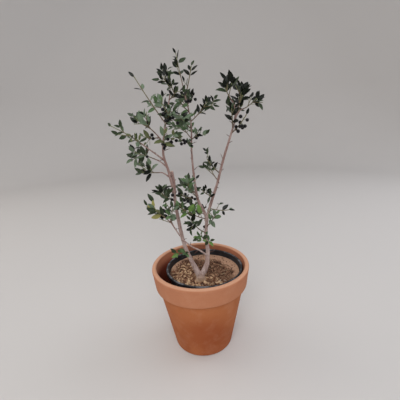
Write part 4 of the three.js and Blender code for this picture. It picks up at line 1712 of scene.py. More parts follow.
    def thinned(self, full: Growth) -> Growth:
        """Leave out what has no room.

        Args:
            full: Everything that the rule puts on a spray.

        Returns:
            The twigs, leaves and berries that it keeps.
        """
        rule = self.rule
        kept = Growth(full.spray, full.stem)
        for twig in full.twigs:
            points = twig.line(rule.stem_steps)
            clear = self.clear_of_limbs(points[0], points[-1], twig.radius)
            if clear and self.inside_space(points, full.spray):
                kept.twigs.append(twig)
        leaves = [leaf for shoot in (full.stem, *kept.twigs) for leaf in shoot.leaves]
        self.keep_leaves(kept, leaves, rule.leaf_spacing, rule.twig_spacing)
        for berry in full.berries:
            self.keep_berry(kept, berry, rule.berry_spacing)
        return kept

    def refine(self, growth: Growth) -> None:
        """Grow finer twigs, with their leaves, from the ones that a spray has.

        Args:
            growth: The growth that they are added to.
        """
        fine, rule, spray = self.fine, self.rule, growth.spray
        random = Seeded(spray.seed + fine.seed)
        small = replace(spray, internode=fine.internode, leaf=spray.leaf * fine.leaf)
        for shoot in (growth.stem, *growth.twigs):
            count = round(spray.fine * shoot.length() / fine.step)
            for i in range(count):
                share = fine.first + (fine.last - fine.first) * (i + random.next()) / count
                bearing = i * rule.spiral + random.between(rule.chance.first_bearing)
                aim = leaning(shoot.tangent(share), bearing, random.between(fine.lean))
                foot = shoot.point(share)
                tip = foot + unit(aim + np.array([0, 0, rule.lift])) * random.between(fine.reach)
                twiglet = Shoot.straight(foot, tip, fine.radius, fine.bare)
                leaves = self.leaf_pairs(twiglet, fine.pairs, small, random)
                clear = self.clear_of_limbs(twiglet.point(fine.clear_from), tip, twiglet.radius)
                if not clear or not self.inside_space(twiglet.line(steps=2), spray):
                    continue
                before = len(growth.leaves)
                self.keep_leaves(growth, leaves, fine.leaf_spacing, fine.twig_spacing)
                if len(growth.leaves) > before:
                    growth.fine.append(twiglet)

    def hang_bunches(self, growth: Growth) -> None:
        """Hang stalked berries in bunches from a spray's stem and twigs.

        Args:
            growth: The growth that they are added to.
        """
        fine, rule, spray = self.fine, self.rule, growth.spray
        random = Seeded(spray.seed + 2 * fine.seed)
        shoots = [growth.stem, *growth.twigs]
        for i in range(spray.bunch):
            shoot = shoots[i // len(fine.bunch_places) % len(shoots)]
            share = fine.bunch_places[i % len(fine.bunch_places)] + random.between(fine.bunch_spread)
            bearing = i * rule.spiral + random.between(rule.chance.first_bearing)
            side = leaning(shoot.tangent(share), bearing, random.between(fine.bunch_lean))
            side = unit(side + np.array(fine.bunch_pull))
            radius = rule.berry_radius * random.between(rule.chance.berry_size)
            foot = shoot.point(share)
            centre = foot + side * (random.between(fine.stalk) + radius)
            self.keep_berry(growth, Berry(centre, radius, side, foot), fine.berry_spacing)

    def work(self) -> list[Growth]:
        """Grow every spray.

        Returns:
            What grows on each.
        """
        kept = [self.thinned(self.grown(spray)) for spray in SPRAYS]
        source_leaves = sum(len(growth.leaves) for growth in kept)
        for growth in kept:
            self.hang_bunches(growth)
            self.refine(growth)
        leaves = sum(len(growth.leaves) for growth in kept)
        berries = sum(len(growth.berries) for growth in kept)
        log.info("grown: %d leaves, %d of them as in the source, and %d berries", leaves,
                 source_leaves, berries)
        return kept


# The pots


@dataclass(frozen=True)
class Corner:
    """A corner of a pot's profile: its radius and height, and how far it is rounded."""

    radius: float
    height: float
    rounding: float = 0.0


def rounded_profile(corners: Sequence[Corner], steps: int = 6) -> Array:
    """Round the corners of a profile.

    Args:
        corners: The corners in order. The first and the last stay sharp.
        steps: How many steps each rounding has.

    Returns:
        A row of radius and height for each point.
    """
    places = [np.array([corner.radius, corner.height]) for corner in corners]
    profile = [places[0]]
    for before, here, after, corner in zip(places, places[1:], places[2:], corners[1:]):
        if not corner.rounding:
            profile.append(here)
            continue
        back, onward = unit(before - here), unit(after - here)
        start, end = here + back * corner.rounding, here + onward * corner.rounding
        for step in range(steps + 1):
            share = step / steps
            profile.append((1 - share) ** 2 * start + 2 * (1 - share) * share * here + share ** 2 * end)
    profile.append(places[-1])
    return np.array(profile)


def finely_stepped(profile: Array, longest: float) -> Array:
    """Put extra points on a profile.

    Args:
        profile: A row of radius and height for each point.
        longest: How long a step may be.

    Returns:
        The rows of the finer profile.
    """
    stepped = [profile[0]]
    for start, end in zip(profile, profile[1:]):
        count = max(1, math.ceil(np.linalg.norm(end - start) / longest))
        stepped.extend(start + (end - start) * (i + 1) / count for i in range(count))
    return np.array(stepped)


@dataclass(frozen=True)
class Bores:
    """Round drain holes in a ring through a pot's floor, and one nick in its lip."""

    count: int
    radius: float
    ring: float
    depth: float
    nick: Place
    nick_radius: float


@dataclass(frozen=True)
class Turning:
    """How a pot is turned: the steps round it, how large its unevenness is across, and how deep."""

    sides: int
    waves: float
    unevenness: float


class Wheel:
    """Turns a profile into a pot: it is swept round a circle, and the wall wanders a little."""

    RADIUS = 10.0
    MERGED = 0.01
    CREASE = 32.0
    BORE_SIDES = 32
    NICK_FINENESS = 3

    def __init__(self, with_bores: bool) -> None:
        """Build the tree.

        Args:
            with_bores: Whether it cuts drain holes and a nick.
        """
        tree = Shaper("wheel")
        self.tree = tree
        circle = tree.out("GeometryNodeCurvePrimitiveCircle", {
            "Resolution": tree.value("Sides", Kind.COUNT), "Radius": tree.value("Wheel Radius")})
        profile = tree.out("GeometryNodeMeshToCurve", {"Mesh": tree.mesh})
        swept = tree.out("GeometryNodeCurveToMesh", {"Curve": circle, "Profile Curve": profile})
        wires = {"Geometry": swept, "Distance": self.MERGED * MM}
        body = self.wander(tree.out("GeometryNodeMergeByDistance", wires))
        if with_bores:
            body = self.bored(body)
        tree.close(tree.dressed(tree.real(body), "Material"))

    def wander(self, body: NodeSocket) -> NodeSocket:
        """Draw the wall in towards the axis by a slow noise.

        Args:
            body: The body.

        Returns:
            The uneven body.
        """
        tree = self.tree
        here = tree.out("GeometryNodeInputPosition")
        noise = tree.out("ShaderNodeTexNoise", {"Vector": here, "Scale": tree.value("Waves")})
        depth = tree.maths("MULTIPLY", noise, tree.value("Unevenness"))
        parts = tree.add("ShaderNodeSeparateXYZ", {"Vector": here}).outputs
        level = tree.out("ShaderNodeCombineXYZ", {"X": parts["X"], "Y": parts["Y"]})
        outward = tree.out("ShaderNodeVectorMath", {"Vector": level}, operation="NORMALIZE")
        wires = {"Vector": outward, "Scale": tree.maths("MULTIPLY", depth, -1.0)}
        inward = tree.out("ShaderNodeVectorMath", wires, operation="SCALE")
        return tree.out("GeometryNodeSetPosition", {"Geometry": body, "Offset": inward})

    def without(self, body: NodeSocket, cutter: NodeSocket) -> NodeSocket:
        """Cut a closed mesh out of a body."""
        wires = {"Mesh 1": body, "Mesh 2": cutter}
        return self.tree.out("GeometryNodeMeshBoolean", wires, operation="DIFFERENCE", solver="MANIFOLD")

    def bored(self, body: NodeSocket) -> NodeSocket:
        """Cut the drain holes and the nick out.

        Args:
            body: The body.

        Returns:
            The body without them.
        """
        tree = self.tree
        ring = tree.out("GeometryNodeMeshCircle", {
            "Vertices": tree.value("Holes", Kind.COUNT), "Radius": tree.value("Hole Ring")})
        turned = tree.out("GeometryNodeTransform", {"Geometry": ring, "Rotation": (0, 0, math.pi / 2)})
        bore = tree.out("GeometryNodeMeshCylinder", {
            "Vertices": self.BORE_SIDES, "Radius": tree.value("Hole Radius"),
            "Depth": tree.value("Hole Depth")})
        bores = tree.out("GeometryNodeInstanceOnPoints", {"Points": turned, "Instance": bore})
        chip = tree.out("GeometryNodeMeshIcoSphere", {
            "Radius": tree.value("Nick Radius"), "Subdivisions": self.NICK_FINENESS})
        nick = tree.out("GeometryNodeTransform", {
            "Geometry": chip, "Translation": tree.value("Nick", Kind.PLACE)})
        return self.without(self.without(body, tree.real(bores)), nick)

    def turn(self, name: str, profile: Array, turning: Turning, material: Material,
             bores: Bores | None = None) -> Object:
        """Turn a pot.

        Args:
            name: The piece's name.
            profile: A row of radius and height for each point, from the axis out and back to the axis.
            turning: How finely and how evenly it is turned.
            material: The pot's finish.
            bores: The holes through its floor, where the wheel cuts them.

        Returns:
            The pot as a plain mesh round the upright axis.
        """
        corners = np.stack([profile[:, 0] - self.RADIUS, -profile[:, 1], np.zeros(len(profile))], axis=1)
        obj = new_object(name, corners, edges=[(i, i + 1) for i in range(len(corners) - 1)])
        values: dict[str, object] = {
            "Sides": turning.sides, "Wheel Radius": self.RADIUS * MM, "Waves": 1 / (turning.waves * MM),
            "Unevenness": turning.unevenness * MM, "Material": material}
        if bores:
            values |= {"Holes": bores.count, "Hole Ring": bores.ring * MM, "Hole Radius": bores.radius * MM,
                       "Hole Depth": bores.depth * MM, "Nick": Vector(bores.nick) * MM,
                       "Nick Radius": bores.nick_radius * MM}
        self.tree.shape(obj, values)
        face_outwards(obj.data)
        obj.data.shade_smooth()
        obj.data.set_sharp_from_angle(angle=math.radians(self.CREASE))
        return obj


@dataclass(frozen=True)
class TerracottaPot:
    """The outer pot: a tapering body under a thick rim band, with drain holes in its floor."""

    height: float = 254.0
    rim_radius: float = 140.0
    rim_band: float = 60.0
    band_foot_radius: float = 133.0
    shoulder_radius: float = 124.0
    base_radius: float = 86.0
    bead: float = 9.0
    groove: float = 1.2
    groove_below: float = 14.0
    lip: float = 12.0
    lip_slope: float = 1.0
    lip_depth: float = 10.0
    wall: float = 9.5
    floor: float = 16.0
    longest_step: float = 6.0
    turning: Turning = Turning(sides=224, waves=90, unevenness=0.9)
    bores: Bores = Bores(count=3, radius=7, ring=38, depth=48, nick=(10, -143.5, 254), nick_radius=5)

    def inner_radius(self, height: float) -> float:
        """Return the radius of the inside at a height."""
        slope = (self.shoulder_radius - self.base_radius) / (self.height - self.rim_band)
        return self.base_radius - self.wall + slope * height

    def profile(self) -> Array:
        """Round the profile, from the middle of the underside to the middle of the floor.

        Returns:
            A row of radius and height for each point.
        """
        band_foot = self.height - self.rim_band
        corners = (
            Corner(0, 0),
            Corner(self.base_radius, 0, 5),
            Corner(self.shoulder_radius, band_foot, 4),
            Corner(self.band_foot_radius, band_foot, 4.5),
            Corner(self.rim_radius - self.groove, self.height - self.groove_below, 3),
            Corner(self.rim_radius, self.height - self.bead, 4),
            Corner(self.rim_radius, self.height, 5.5),
            Corner(self.rim_radius - self.lip, self.height, 4.5),
            Corner(self.rim_radius - self.lip - self.lip_slope, self.height - self.lip_depth, 3),
            Corner(self.inner_radius(self.floor), self.floor, 9),
            Corner(0, self.floor),
        )
        return finely_stepped(rounded_profile(corners), self.longest_step)

    def build(self) -> None:
        """Build and dress the pot."""
        wheel = Wheel(with_bores=True)
        clay = Terracotta().material()
        pot = wheel.turn("terracotta_body", self.profile(), self.turning, clay, self.bores)
        finish_piece(pot, ["terracotta_pot"])


@dataclass(frozen=True)
class NurseryPot:
    """The thin black pot that stands inside the other one, a little off its middle."""

    centre: tuple[float, float] = (11.0, 4.0)
    foot: float = 16.3
    rim_height: float = 241.0
    rim_radius: float = 111.0
    rim_depth: float = 10.0
    shoulder_radius: float = 106.0
    base_radius: float = 58.0
    step_below: float = 26.0
    step_out: float = 1.0
    step_height: float = 2.0
    lip_slope: float = 1.0
    lip_depth: float = 2.0
    wall: float = 1.6
    longest_step: float = 8.0
    turning: Turning = Turning(sides=160, waves=60, unevenness=0.5)

    def outer_radius(self, height: float) -> float:
        """Return the radius of the outside at a height."""
        share = (height - self.foot) / (self.rim_height - self.rim_depth - self.foot)
        return self.base_radius + (self.shoulder_radius - self.base_radius) * share

    def profile(self) -> Array:
        """Round the profile, from the middle of the underside to the middle of the floor.

        Returns:
            A row of radius and height for each point.
        """
        shoulder = self.rim_height - self.rim_depth
        step = shoulder - self.step_below
        corners = (
            Corner(0, self.foot),
            Corner(self.base_radius, self.foot, 3),
            Corner(self.outer_radius(step), step, 1),
            Corner(self.outer_radius(step) + self.step_out, step + self.step_height, 1),
            Corner(self.shoulder_radius, shoulder, 1),
            Corner(self.rim_radius, shoulder, 1.2),
            Corner(self.rim_radius, self.rim_height, 1.8),
            Corner(self.shoulder_radius - self.wall + self.lip_slope, self.rim_height, 1.6),
            Corner(self.shoulder_radius - self.wall, shoulder - self.lip_depth, 2),
            Corner(self.base_radius - self.wall, self.foot + self.wall, 3),
            Corner(0, self.foot + self.wall),
        )
        return finely_stepped(rounded_profile(corners), self.longest_step)

    def build(self) -> None:
        """Build and dress the pot."""
        wheel = Wheel(with_bores=False)
        pot = wheel.turn("nursery_body", self.profile(), self.turning, NurseryPlastic().material())
        move_corners(pot.data, corners_of(pot.data) + np.array([*self.centre, 0.0]))
        finish_piece(pot, ["nursery_pot"])


# The soil and what lies on it


class Strewing:
    """Strews shapes over a surface where one of its attributes lets them lie."""

    def __init__(self) -> None:
        """Build the tree."""
        tree = Shaper("strewing")
        self.tree = tree
        seed = tree.value("Seed", Kind.COUNT)
        seeds = [tree.maths("ADD", seed, float(i)) for i in range(1, 5)]
        spots = tree.add("GeometryNodeDistributePointsOnFaces", {
            "Mesh": tree.mesh, "Distance Min": tree.value("Spacing"), "Density Max": tree.value("Density"),
            "Density Factor": tree.held("room", "FLOAT"), "Seed": seed}, distribute_method="POISSON")
        tilt = tree.value("Tilt")
        spin = tree.out("ShaderNodeCombineXYZ", {
            "X": tree.random(tree.maths("MULTIPLY", tilt, -1.0), tilt, seeds[0]),
            "Y": tree.random(0.0, tilt, seeds[1]), "Z": tree.random(0.0, math.tau, seeds[2])})
        own_turn = tree.out("FunctionNodeEulerToRotation", {"Euler": spin})
        wires = {"Rotation": spots.outputs["Rotation"], "Rotate By": own_turn}
        turn = tree.out("FunctionNodeRotateRotation", wires, rotation_space="LOCAL")
        size = tree.random(tree.value("Smallest"), tree.value("Largest"), seeds[3])
        laid = tree.copies(spots.outputs["Points"], Rotation=turn, Scale=size)
        tree.close(tree.dressed(laid, "Material"))

    def strew(self, name: str, ground: Object, room: Array, shapes: Collection, material: Material,
              **values: float) -> Object:
        """Strew shapes over the ground.

        Args:
            name: The new piece's name.
            ground: The surface that they lie on.
            room: How densely they may lie at each corner of the ground, from 0 to 1.
            shapes: The shapes that chance picks from.
            material: Their finish.
            values: The tree's other inputs, in its own units, with underscores for spaces.

        Returns:
            The joined piece.
        """
        obj = linked(name, ground.data.copy())
        hold(obj.data, "room", "FLOAT", room)
        named = {key.replace("_", " ").title(): value for key, value in values.items()}
        self.tree.shape(obj, {"Shapes": shapes, "Material": material, **named})
        return obj


def collected(name: str, objects: Iterable[Object]) -> Collection:
    """Put shapes that will be copied into a collection of their own, out of the scene.

    Args:
        name: The collection's name.
        objects: The shapes.

    Returns:
        The collection.
    """
    shapes = bpy.data.collections.new(name)
    for obj in objects:
        bpy.context.scene.collection.objects.unlink(obj)
        shapes.objects.link(obj)
    return shapes


def discard(shapes: Collection) -> None:
    """Remove shapes that have been copied.

    Args:
        shapes: Their collection, which goes with them.
    """
    for obj in list(shapes.objects):
        bpy.data.objects.remove(obj)
    bpy.data.collections.remove(shapes)


def jittered(obj: Object, amount: float, seed: int) -> Object:
    """Make a shape uneven, as broken or worn things are.

    Args:
        obj: The shape.
        amount: How far each corner moves at most along each axis.
        seed: Which unevenness it has.

    Returns:
        The same shape.
    """
    spread = np.random.default_rng(seed).uniform(-amount, amount, (len(obj.data.vertices), 3))
    move_corners(obj.data, corners_of(obj.data) + spread)
    return obj


SPLINTER_SHARES = np.array([0.0, 0.28, 0.68, 1.0])
SPLINTER_WIDTHS = np.array([0.35, 1.0, 0.85, 0.25])
SPLINTER_FLATNESS = 0.4
SPLINTER_ROUGHNESS = 0.22
CRUMB_ROUGHNESS = 0.3
STRAW_TAPER = np.array([0.5, 1, 1, 1, 0.9, 0.4])
STRAW_SIDES = 4


def splinter(name: str, size: Place, seed: int) -> Object:
    """Make a rough splinter of bark: a block with pointed ends and uneven faces.

    Args:
        name: The object's name.
        size: Its length, width and depth.
        seed: Which unevenness it has.

    Returns:
        The splinter.
    """
    length, width, depth = size
    skin = Skin()
    square = np.array([(1, 1), (-1, 1), (-1, -1), (1, -1)]) / 2
    rings = [[((share - 0.5) * length, wide * y * width, wide ** SPLINTER_FLATNESS * z * depth)
              for y, z in square] for share, wide in zip(SPLINTER_SHARES, SPLINTER_WIDTHS)]
    skin.stack(np.array(rings))
    obj = jittered(skin.object(name), depth * SPLINTER_ROUGHNESS, seed)
    face_outwards(obj.data)
    return obj


def crumb(name: str, radius: float, seed: int) -> Object:
    """Make a crumb of the mix of about a radius, with twenty uneven faces."""
    return jittered(ball(name, radius, 1), radius * CRUMB_ROUGHNESS, seed)


def straw(name: str, length: float, radius: float, bend: float) -> Object:
    """Make a thin bent straw that lies along X.

    Args:
        name: The object's name.
        length: How long it is.
        radius: Its radius where it is thickest.
        bend: How far it bends to the side.

    Returns:
        The straw.
    """
    x = np.linspace(-0.5, 0.5, len(STRAW_TAPER))
    line = np.stack([x * length, bend * (4 * x * x - 0.5), radius + 0 * x], axis=1)
    skin = Skin()
    skin.tube(line, radius * STRAW_TAPER, STRAW_SIDES)
    return skin.object(name)


def ramp(values: Array, span: Span) -> Array:
    """Return how far values have gone from one end of a span to the other, held from 0 to 1."""
    start, end = span
    return np.clip((values - start) / (end - start), 0, 1)


def wavy(line: Array | float, turn: Array, waves: Iterable[tuple[float, int]]) -> Array:
    """Add waves to a line round the pot.

    Args:
        line: The line's share of the radius.
        turn: The angles in degrees.
        waves: How deep each is, and how many there are in a whole turn.

    Returns:
        The line with the waves.
    """
    return sum((depth * np.sin(np.radians(turn * count)) for depth, count in waves), line)


@dataclass(frozen=True)
class SandyBand:
    """The settled band along the back right of the soil, with a crack in it.

    Places are a share of the soil's radius, and angles are degrees round from the right. The band
    begins farther out towards the front and towards the left, and fades between each pair of angles.
    """

    start: float = 0.6
    front: float = 0.13
    front_turns: Span = (30.0, -10.0)
    left: float = 0.22
    left_turns: Span = (95.0, 130.0)
    edge: float = 0.14
    waves: tuple[tuple[float, int], ...] = ((0.04, 5), (0.03, 13))
    right_end: Span = (-38.0, -16.0)
    left_end: Span = (188.0, 164.0)
    crack: float = 0.08
    crack_width: float = 0.014
    crack_waves: tuple[tuple[float, int], ...] = ((0.035, 7), (0.02, 19))
    crack_right_end: Span = (-20.0, -8.0)
    crack_left_end: Span = (95.0, 83.0)

    def start_at(self, turn: Array) -> Array:
        """Return where the band begins at angles."""
        start = self.start + self.front * ramp(turn, self.front_turns)
        return start + self.left * ramp(turn, self.left_turns)

    def settled(self, reach: Array, turn: Array) -> Array:
        """Return how settled and sandy the surface is, from 0 to 1.

        Args:
            reach: The distances of places from the middle.
            turn: Their angles.

        Returns:
            One value for each place.
        """
        turn = np.where(turn < -90, turn + 360, turn)
        band = ramp(reach + wavy(0.0, turn, self.waves) - self.start_at(turn), (0, self.edge))
        return band * (ramp(turn, self.right_end) * ramp(turn, self.left_end))

    def hollow(self, reach: Array, turn: Array) -> Array:
        """Return how deep in the crack the surface is, from 0 to 1.

        Args:
            reach: The distances of places from the middle.
            turn: Their angles.

        Returns:
            One value for each place.
        """
        line = wavy(self.start_at(turn) + self.crack, turn, self.crack_waves)
        near = np.exp(-((reach - line) / self.crack_width) ** 2)
        return near * ramp(turn, self.crack_right_end) * ramp(turn, self.crack_left_end)


def litter() -> dict[str, Collection]:
    """Make the shapes that are strewn over the mix.

    Returns:
        The shapes of each kind, by its name.
    """
    kinds = {
        "nuggets": [splinter(f"nugget_{i}", (11 + 2 * i, 8, 5.5), seed=60 + i) for i in range(4)],
        "chips": [splinter(f"chip_{i}", (8 + 2 * i, 5 - 0.5 * i, 2.2), seed=30 + i) for i in range(5)],
        "crumbs": [crumb(f"crumb_{i}", radius=1.6, seed=50 + i) for i in range(4)],
        "straws": [straw(f"straw_{i}", 14 + 5 * i, radius=0.45, bend=1.5 * i) for i in range(4)],
    }
    return {name: collected(name, shapes) for name, shapes in kinds.items()}


@dataclass(frozen=True)
class Soil:
    """The mix that fills the nursery pot: chunky at the front, settled and sandy along the back right.

    Where a field ends in at, its first number is where a kind of litter begins and its second is where
    that litter is full, going from the pot's middle towards the side on which it lies.
    """

    pot: NurseryPot
    band: SandyBand = SandyBand()
    edge_drop: float = 3.0
    edge_width: float = 14.0
    sunk: float = 1.5
    lumps: float = 1.7
    lump_size: float = 17.0
    sandy_smoothness: float = 0.75
    wall_width: float = 6.0
    wall_lumps: float = 0.25
    bank: float = 3.0
    mound: float = 3.0
    mound_width: float = 26.0
    crack_depth: float = 3.2
    rings: int = 84
    sectors: int = 240
    floor_middle: float = 0.01
    top_middle: float = 0.002
    top_depth: float = 14.0
    bare_edge: float = 5.0
    thinning: float = 1.4
    nuggets_at: Span = (-5.0, 20.0)
    chips_at: Span = (-20.0, 40.0)
    chips_to_left: float = 0.6
    least_chips: float = 0.2
    more_chips: float = 0.6
    least_crumbs: float = 0.14
    straws_at: Span = (-40.0, 20.0)
    least_straws: float = 0.25
    scraps_at: Span = (45.0, 65.0)

    @property
    def radius(self) -> float:
        """The radius of the surface, just inside the pot's wall."""
        return self.pot.outer_radius(SOIL_HEIGHT - self.edge_drop) - self.pot.wall - WALL_GAP

    def polar(self, x: Array, y: Array) -> tuple[Array, Array]:
        """Return the distance of places from the pot's middle, as a share, and their angle in degrees."""
        return np.hypot(x, y) / self.radius, np.degrees(np.arctan2(y, x))

    def surface(self, x: Array, y: Array) -> Array:
        """Return the height of the surface.

        Args:
            x: How far places are to the right of the pot's middle.
            y: How far they are behind it.

        Returns:
            One height for each place.
        """
        reach = np.hypot(x, y)
        flat = np.stack([x, y, np.zeros_like(x)], axis=1)
        settled = self.band.settled(*self.polar(x, y))
        rough = self.lumps * (1 - self.sandy_smoothness * settled)
        rough = rough * np.maximum(ramp(self.radius - reach, (0, self.wall_width)), self.wall_lumps)
        slope = np.clip((reach - (self.radius - self.edge_width)) / self.edge_width, 0, 1)
        stem_x, stem_y = (foot - middle for foot, middle in zip(STEM_FOOT, self.pot.centre))
        mound = self.mound * np.exp(-(np.hypot(x - stem_x, y - stem_y) / self.mound_width) ** 2)
        height = SOIL_HEIGHT - self.sunk - self.edge_drop * slope * (1 - settled)
        height = height + self.bank * settled + mound
        height = height + rough * cloudy(flat, self.lump_size, layers=4, seed=3)
        return height - self.crack_depth * self.band.hollow(*self.polar(x, y))

    def build(self) -> Object:
        """Build and dress the body of the mix, closed down to the pot's floor.

        Returns:
            The piece.
        """
        floor = self.pot.foot + self.pot.wall + CLEARANCE
        foot_radius = self.pot.outer_radius(floor) - self.pot.wall - WALL_GAP
        angles = around(self.sectors)
        ring = np.stack([np.cos(angles), np.sin(angles)], axis=1)
        layers = [np.column_stack([ring * foot_radius * share, np.full(self.sectors, floor)])
                  for share in (self.floor_middle, 1.0)]
        for step in range(self.rings):
            flat = ring * self.radius * max(1 - step / (self.rings - 1), self.top_middle)
            layers.append(np.column_stack([flat, self.surface(flat[:, 0], flat[:, 1])]))
        skin = Skin()
        skin.stack(np.array(layers))
        obj = skin.object("potting_mix")
        face_outwards(obj.data)
        here = corners_of(obj.data)
        spots = self.polar(here[:, 0], here[:, 1])
        hold(obj.data, "settled", "FLOAT", self.band.settled(*spots))
        # hollow also marks where the mix's finish paints shade in the crack.
        hold(obj.data, "hollow", "FLOAT", self.band.hollow(*spots))
        move_corners(obj.data, here + np.array([*self.pot.centre, 0.0]))
        finish_piece(obj, ["soil"], PottingMix().material())
        return obj

    def dress(self, ground: Object) -> None:
        """Strew bark chips, crumbs, straws and pale scraps over the mix.

        Args:
            ground: The body of the mix.
        """
        x, y, z = (corners_of(ground.data) - np.array([*self.pot.centre, 0.0])).T
        on_top = (z > SOIL_HEIGHT - self.top_depth) & (np.hypot(x, y) < self.radius - self.bare_edge)
        settled = self.band.settled(*self.polar(x, y))
        loose = on_top * np.clip(1 - self.thinning * settled, 0, 1)
        nugget_room = on_top * ramp(-x - y, self.nuggets_at) * (1 - settled)
        front_left = ramp(-y - self.chips_to_left * x, self.chips_at)
        chip_room = loose * (self.least_chips + self.more_chips * front_left)
        crumb_room = np.maximum(loose, self.least_crumbs * on_top)
        straw_room = loose * np.maximum(ramp(x, self.straws_at), self.least_straws)
        tan = Scrap("bark_nugget", linear("#c4a482"), linear("#6b4733"), patch=14, grain=2.5)
        brown = Scrap("bark_chip", linear("#9c755b"), linear("#482b20"), patch=11, grain=2.5)
        crumbly = Scrap("mix_crumb", linear("#80604b"), linear("#321d15"), patch=8, grain=1.5)
        dry = Scrap("straw", linear("#c3ab8a"), linear("#8d6e52"), patch=20, grain=2)
        ash = Scrap("ash_scrap", linear("#b7b2a8"), linear("#8b8177"), patch=10, grain=2)
        rows = (
            ("bark_nuggets", nugget_room, "nuggets", tan,
             dict(density=2.2e4, spacing=7 * MM, smallest=0.6, largest=1.15, tilt=0.7, seed=15)),
            ("bark_chips", chip_room, "chips", brown,
             dict(density=7e4, spacing=3.6 * MM, smallest=0.4, largest=1.0, tilt=0.6, seed=11)),
            ("crumbs_of_mix", crumb_room, "crumbs", crumbly,
             dict(density=1.6e5, spacing=2.4 * MM, smallest=0.5, largest=1.5, tilt=3.0, seed=12)),
            ("straws", straw_room, "straws", dry,
             dict(density=1.3e4, spacing=6 * MM, smallest=0.5, largest=1.1, tilt=0.25, seed=13)),
            ("pale_scraps", on_top * ramp(-y, self.scraps_at), "chips", ash,
             dict(density=8e3, spacing=10 * MM, smallest=0.5, largest=0.9, tilt=0.3, seed=14)),
        )
        shapes, strewing = litter(), Strewing()
        for name, room, kind, scrap, values in rows:
            room = room.astype(float)
            piece = strewing.strew(name, ground, room, shapes[kind], scrap.material(), **values)
            finish_piece(piece, ["soil"])
        for used in shapes.values():
            discard(used)


# The wood


@dataclass
class Snags:
    """The thin dead spurs on the stems, where old twigs have died back."""

    lines: dict[str, LimbLine]
    step: float = 22.0
    spacing: Span = (0.6, 1.4)
    first: float = 24.0
    chance: float = 0.85
    spiral: float = 2.4
    bearing: Span = (-0.5, 0.5)
    length: Span = (8.0, 22.0)
    lean: Span = (0.9, 1.4)
    radius: float = 0.9
    kink_radius: float = 0.8
    kink_place: float = 0.6
    kink: float = 0.8
    tip: float = 0.35
    sides: int = 6
    bare_below: float = 285.0
    least: float = 0.5
    full_at: float = 4.0
    seed: int = 77
    skin: TwigSkin = TwigSkin("spur_skin", linear("#5a3d38"))

    def build(self) -> None:
        """Build the spurs, in a seeded row up each limb: none low down, and short ones on thin wood."""
        skin = Skin()
        random = Seeded(self.seed)
        for line in self.lines.values():
            gone, along = gone_along(line.points), tangents_along(line.points)
            place, turn = self.first, 0.0
            while place < gone[-1] - self.first:
                here = int(np.searchsorted(gone, place))
                foot, radius = line.points[here], line.radii[here]
                turn += self.spiral + random.between(self.bearing)
                length, lean = random.between(self.length), random.between(self.lean)
                length *= min(self.least + (1 - self.least) * radius / self.full_at, 1.0)
                if random.next() < self.chance and foot[2] > self.bare_below:
                    aim = leaning(along[here], turn, lean)
                    tip = foot + aim * (radius + length)
                    kink = foot + aim * (radius + length * self.kink_place) + along[here] * self.kink
                    radii = np.array([self.radius, self.radius * self.kink_radius, self.tip])
                    skin.tube(np.array([foot, kink, tip]), radii, self.sides)
                place += self.step * random.between(self.spacing)
        obj = skin.object("dead_spurs")
        hold(obj.data, "young", "FLOAT", np.zeros(len(obj.data.vertices)))
        finish_piece(obj, self.lines, self.skin.material())


@dataclass(frozen=True)
class Flare:
    """The lobed root flare, from a little below the soil to the fork, where it is tucked in."""

    sunk: float = 5.0
    foot_radius: float = 15.5
    waist_radius: float = 11.5
    height: float = 18.0
    lobes: int = 3
    lobe_depth: float = 0.16
    lobe_phase: float = 1.0
    tucked_from: float = 0.75
    tuck: float = 2.2
    top: float = 1.12
    sides: int = 48
    layers: int = 26

    def gather(self, skin: Skin) -> None:
        """Gather the flare in a skin.

        Args:
            skin: The skin.
        """
        x, y = STEM_FOOT
        angles = around(self.sides)
        rings = []
        for share in np.linspace(-self.sunk / self.height, self.top, self.layers):
            up = min(max(share, 0), 1)
            radius = self.waist_radius + (self.foot_radius - self.waist_radius) * (1 - up) ** 2
            radius *= 1 - self.tuck * max(share - self.tucked_from, 0)
            lobe = 1 + self.lobe_depth * (1 - up) * np.cos(self.lobes * angles + self.lobe_phase)
            height = np.full(self.sides, SOIL_HEIGHT + self.height * share)
            rings.append(np.column_stack([x + radius * lobe * np.cos(angles),
                                          y + radius * lobe * np.sin(angles), height]))
        skin.stack(np.array(rings))


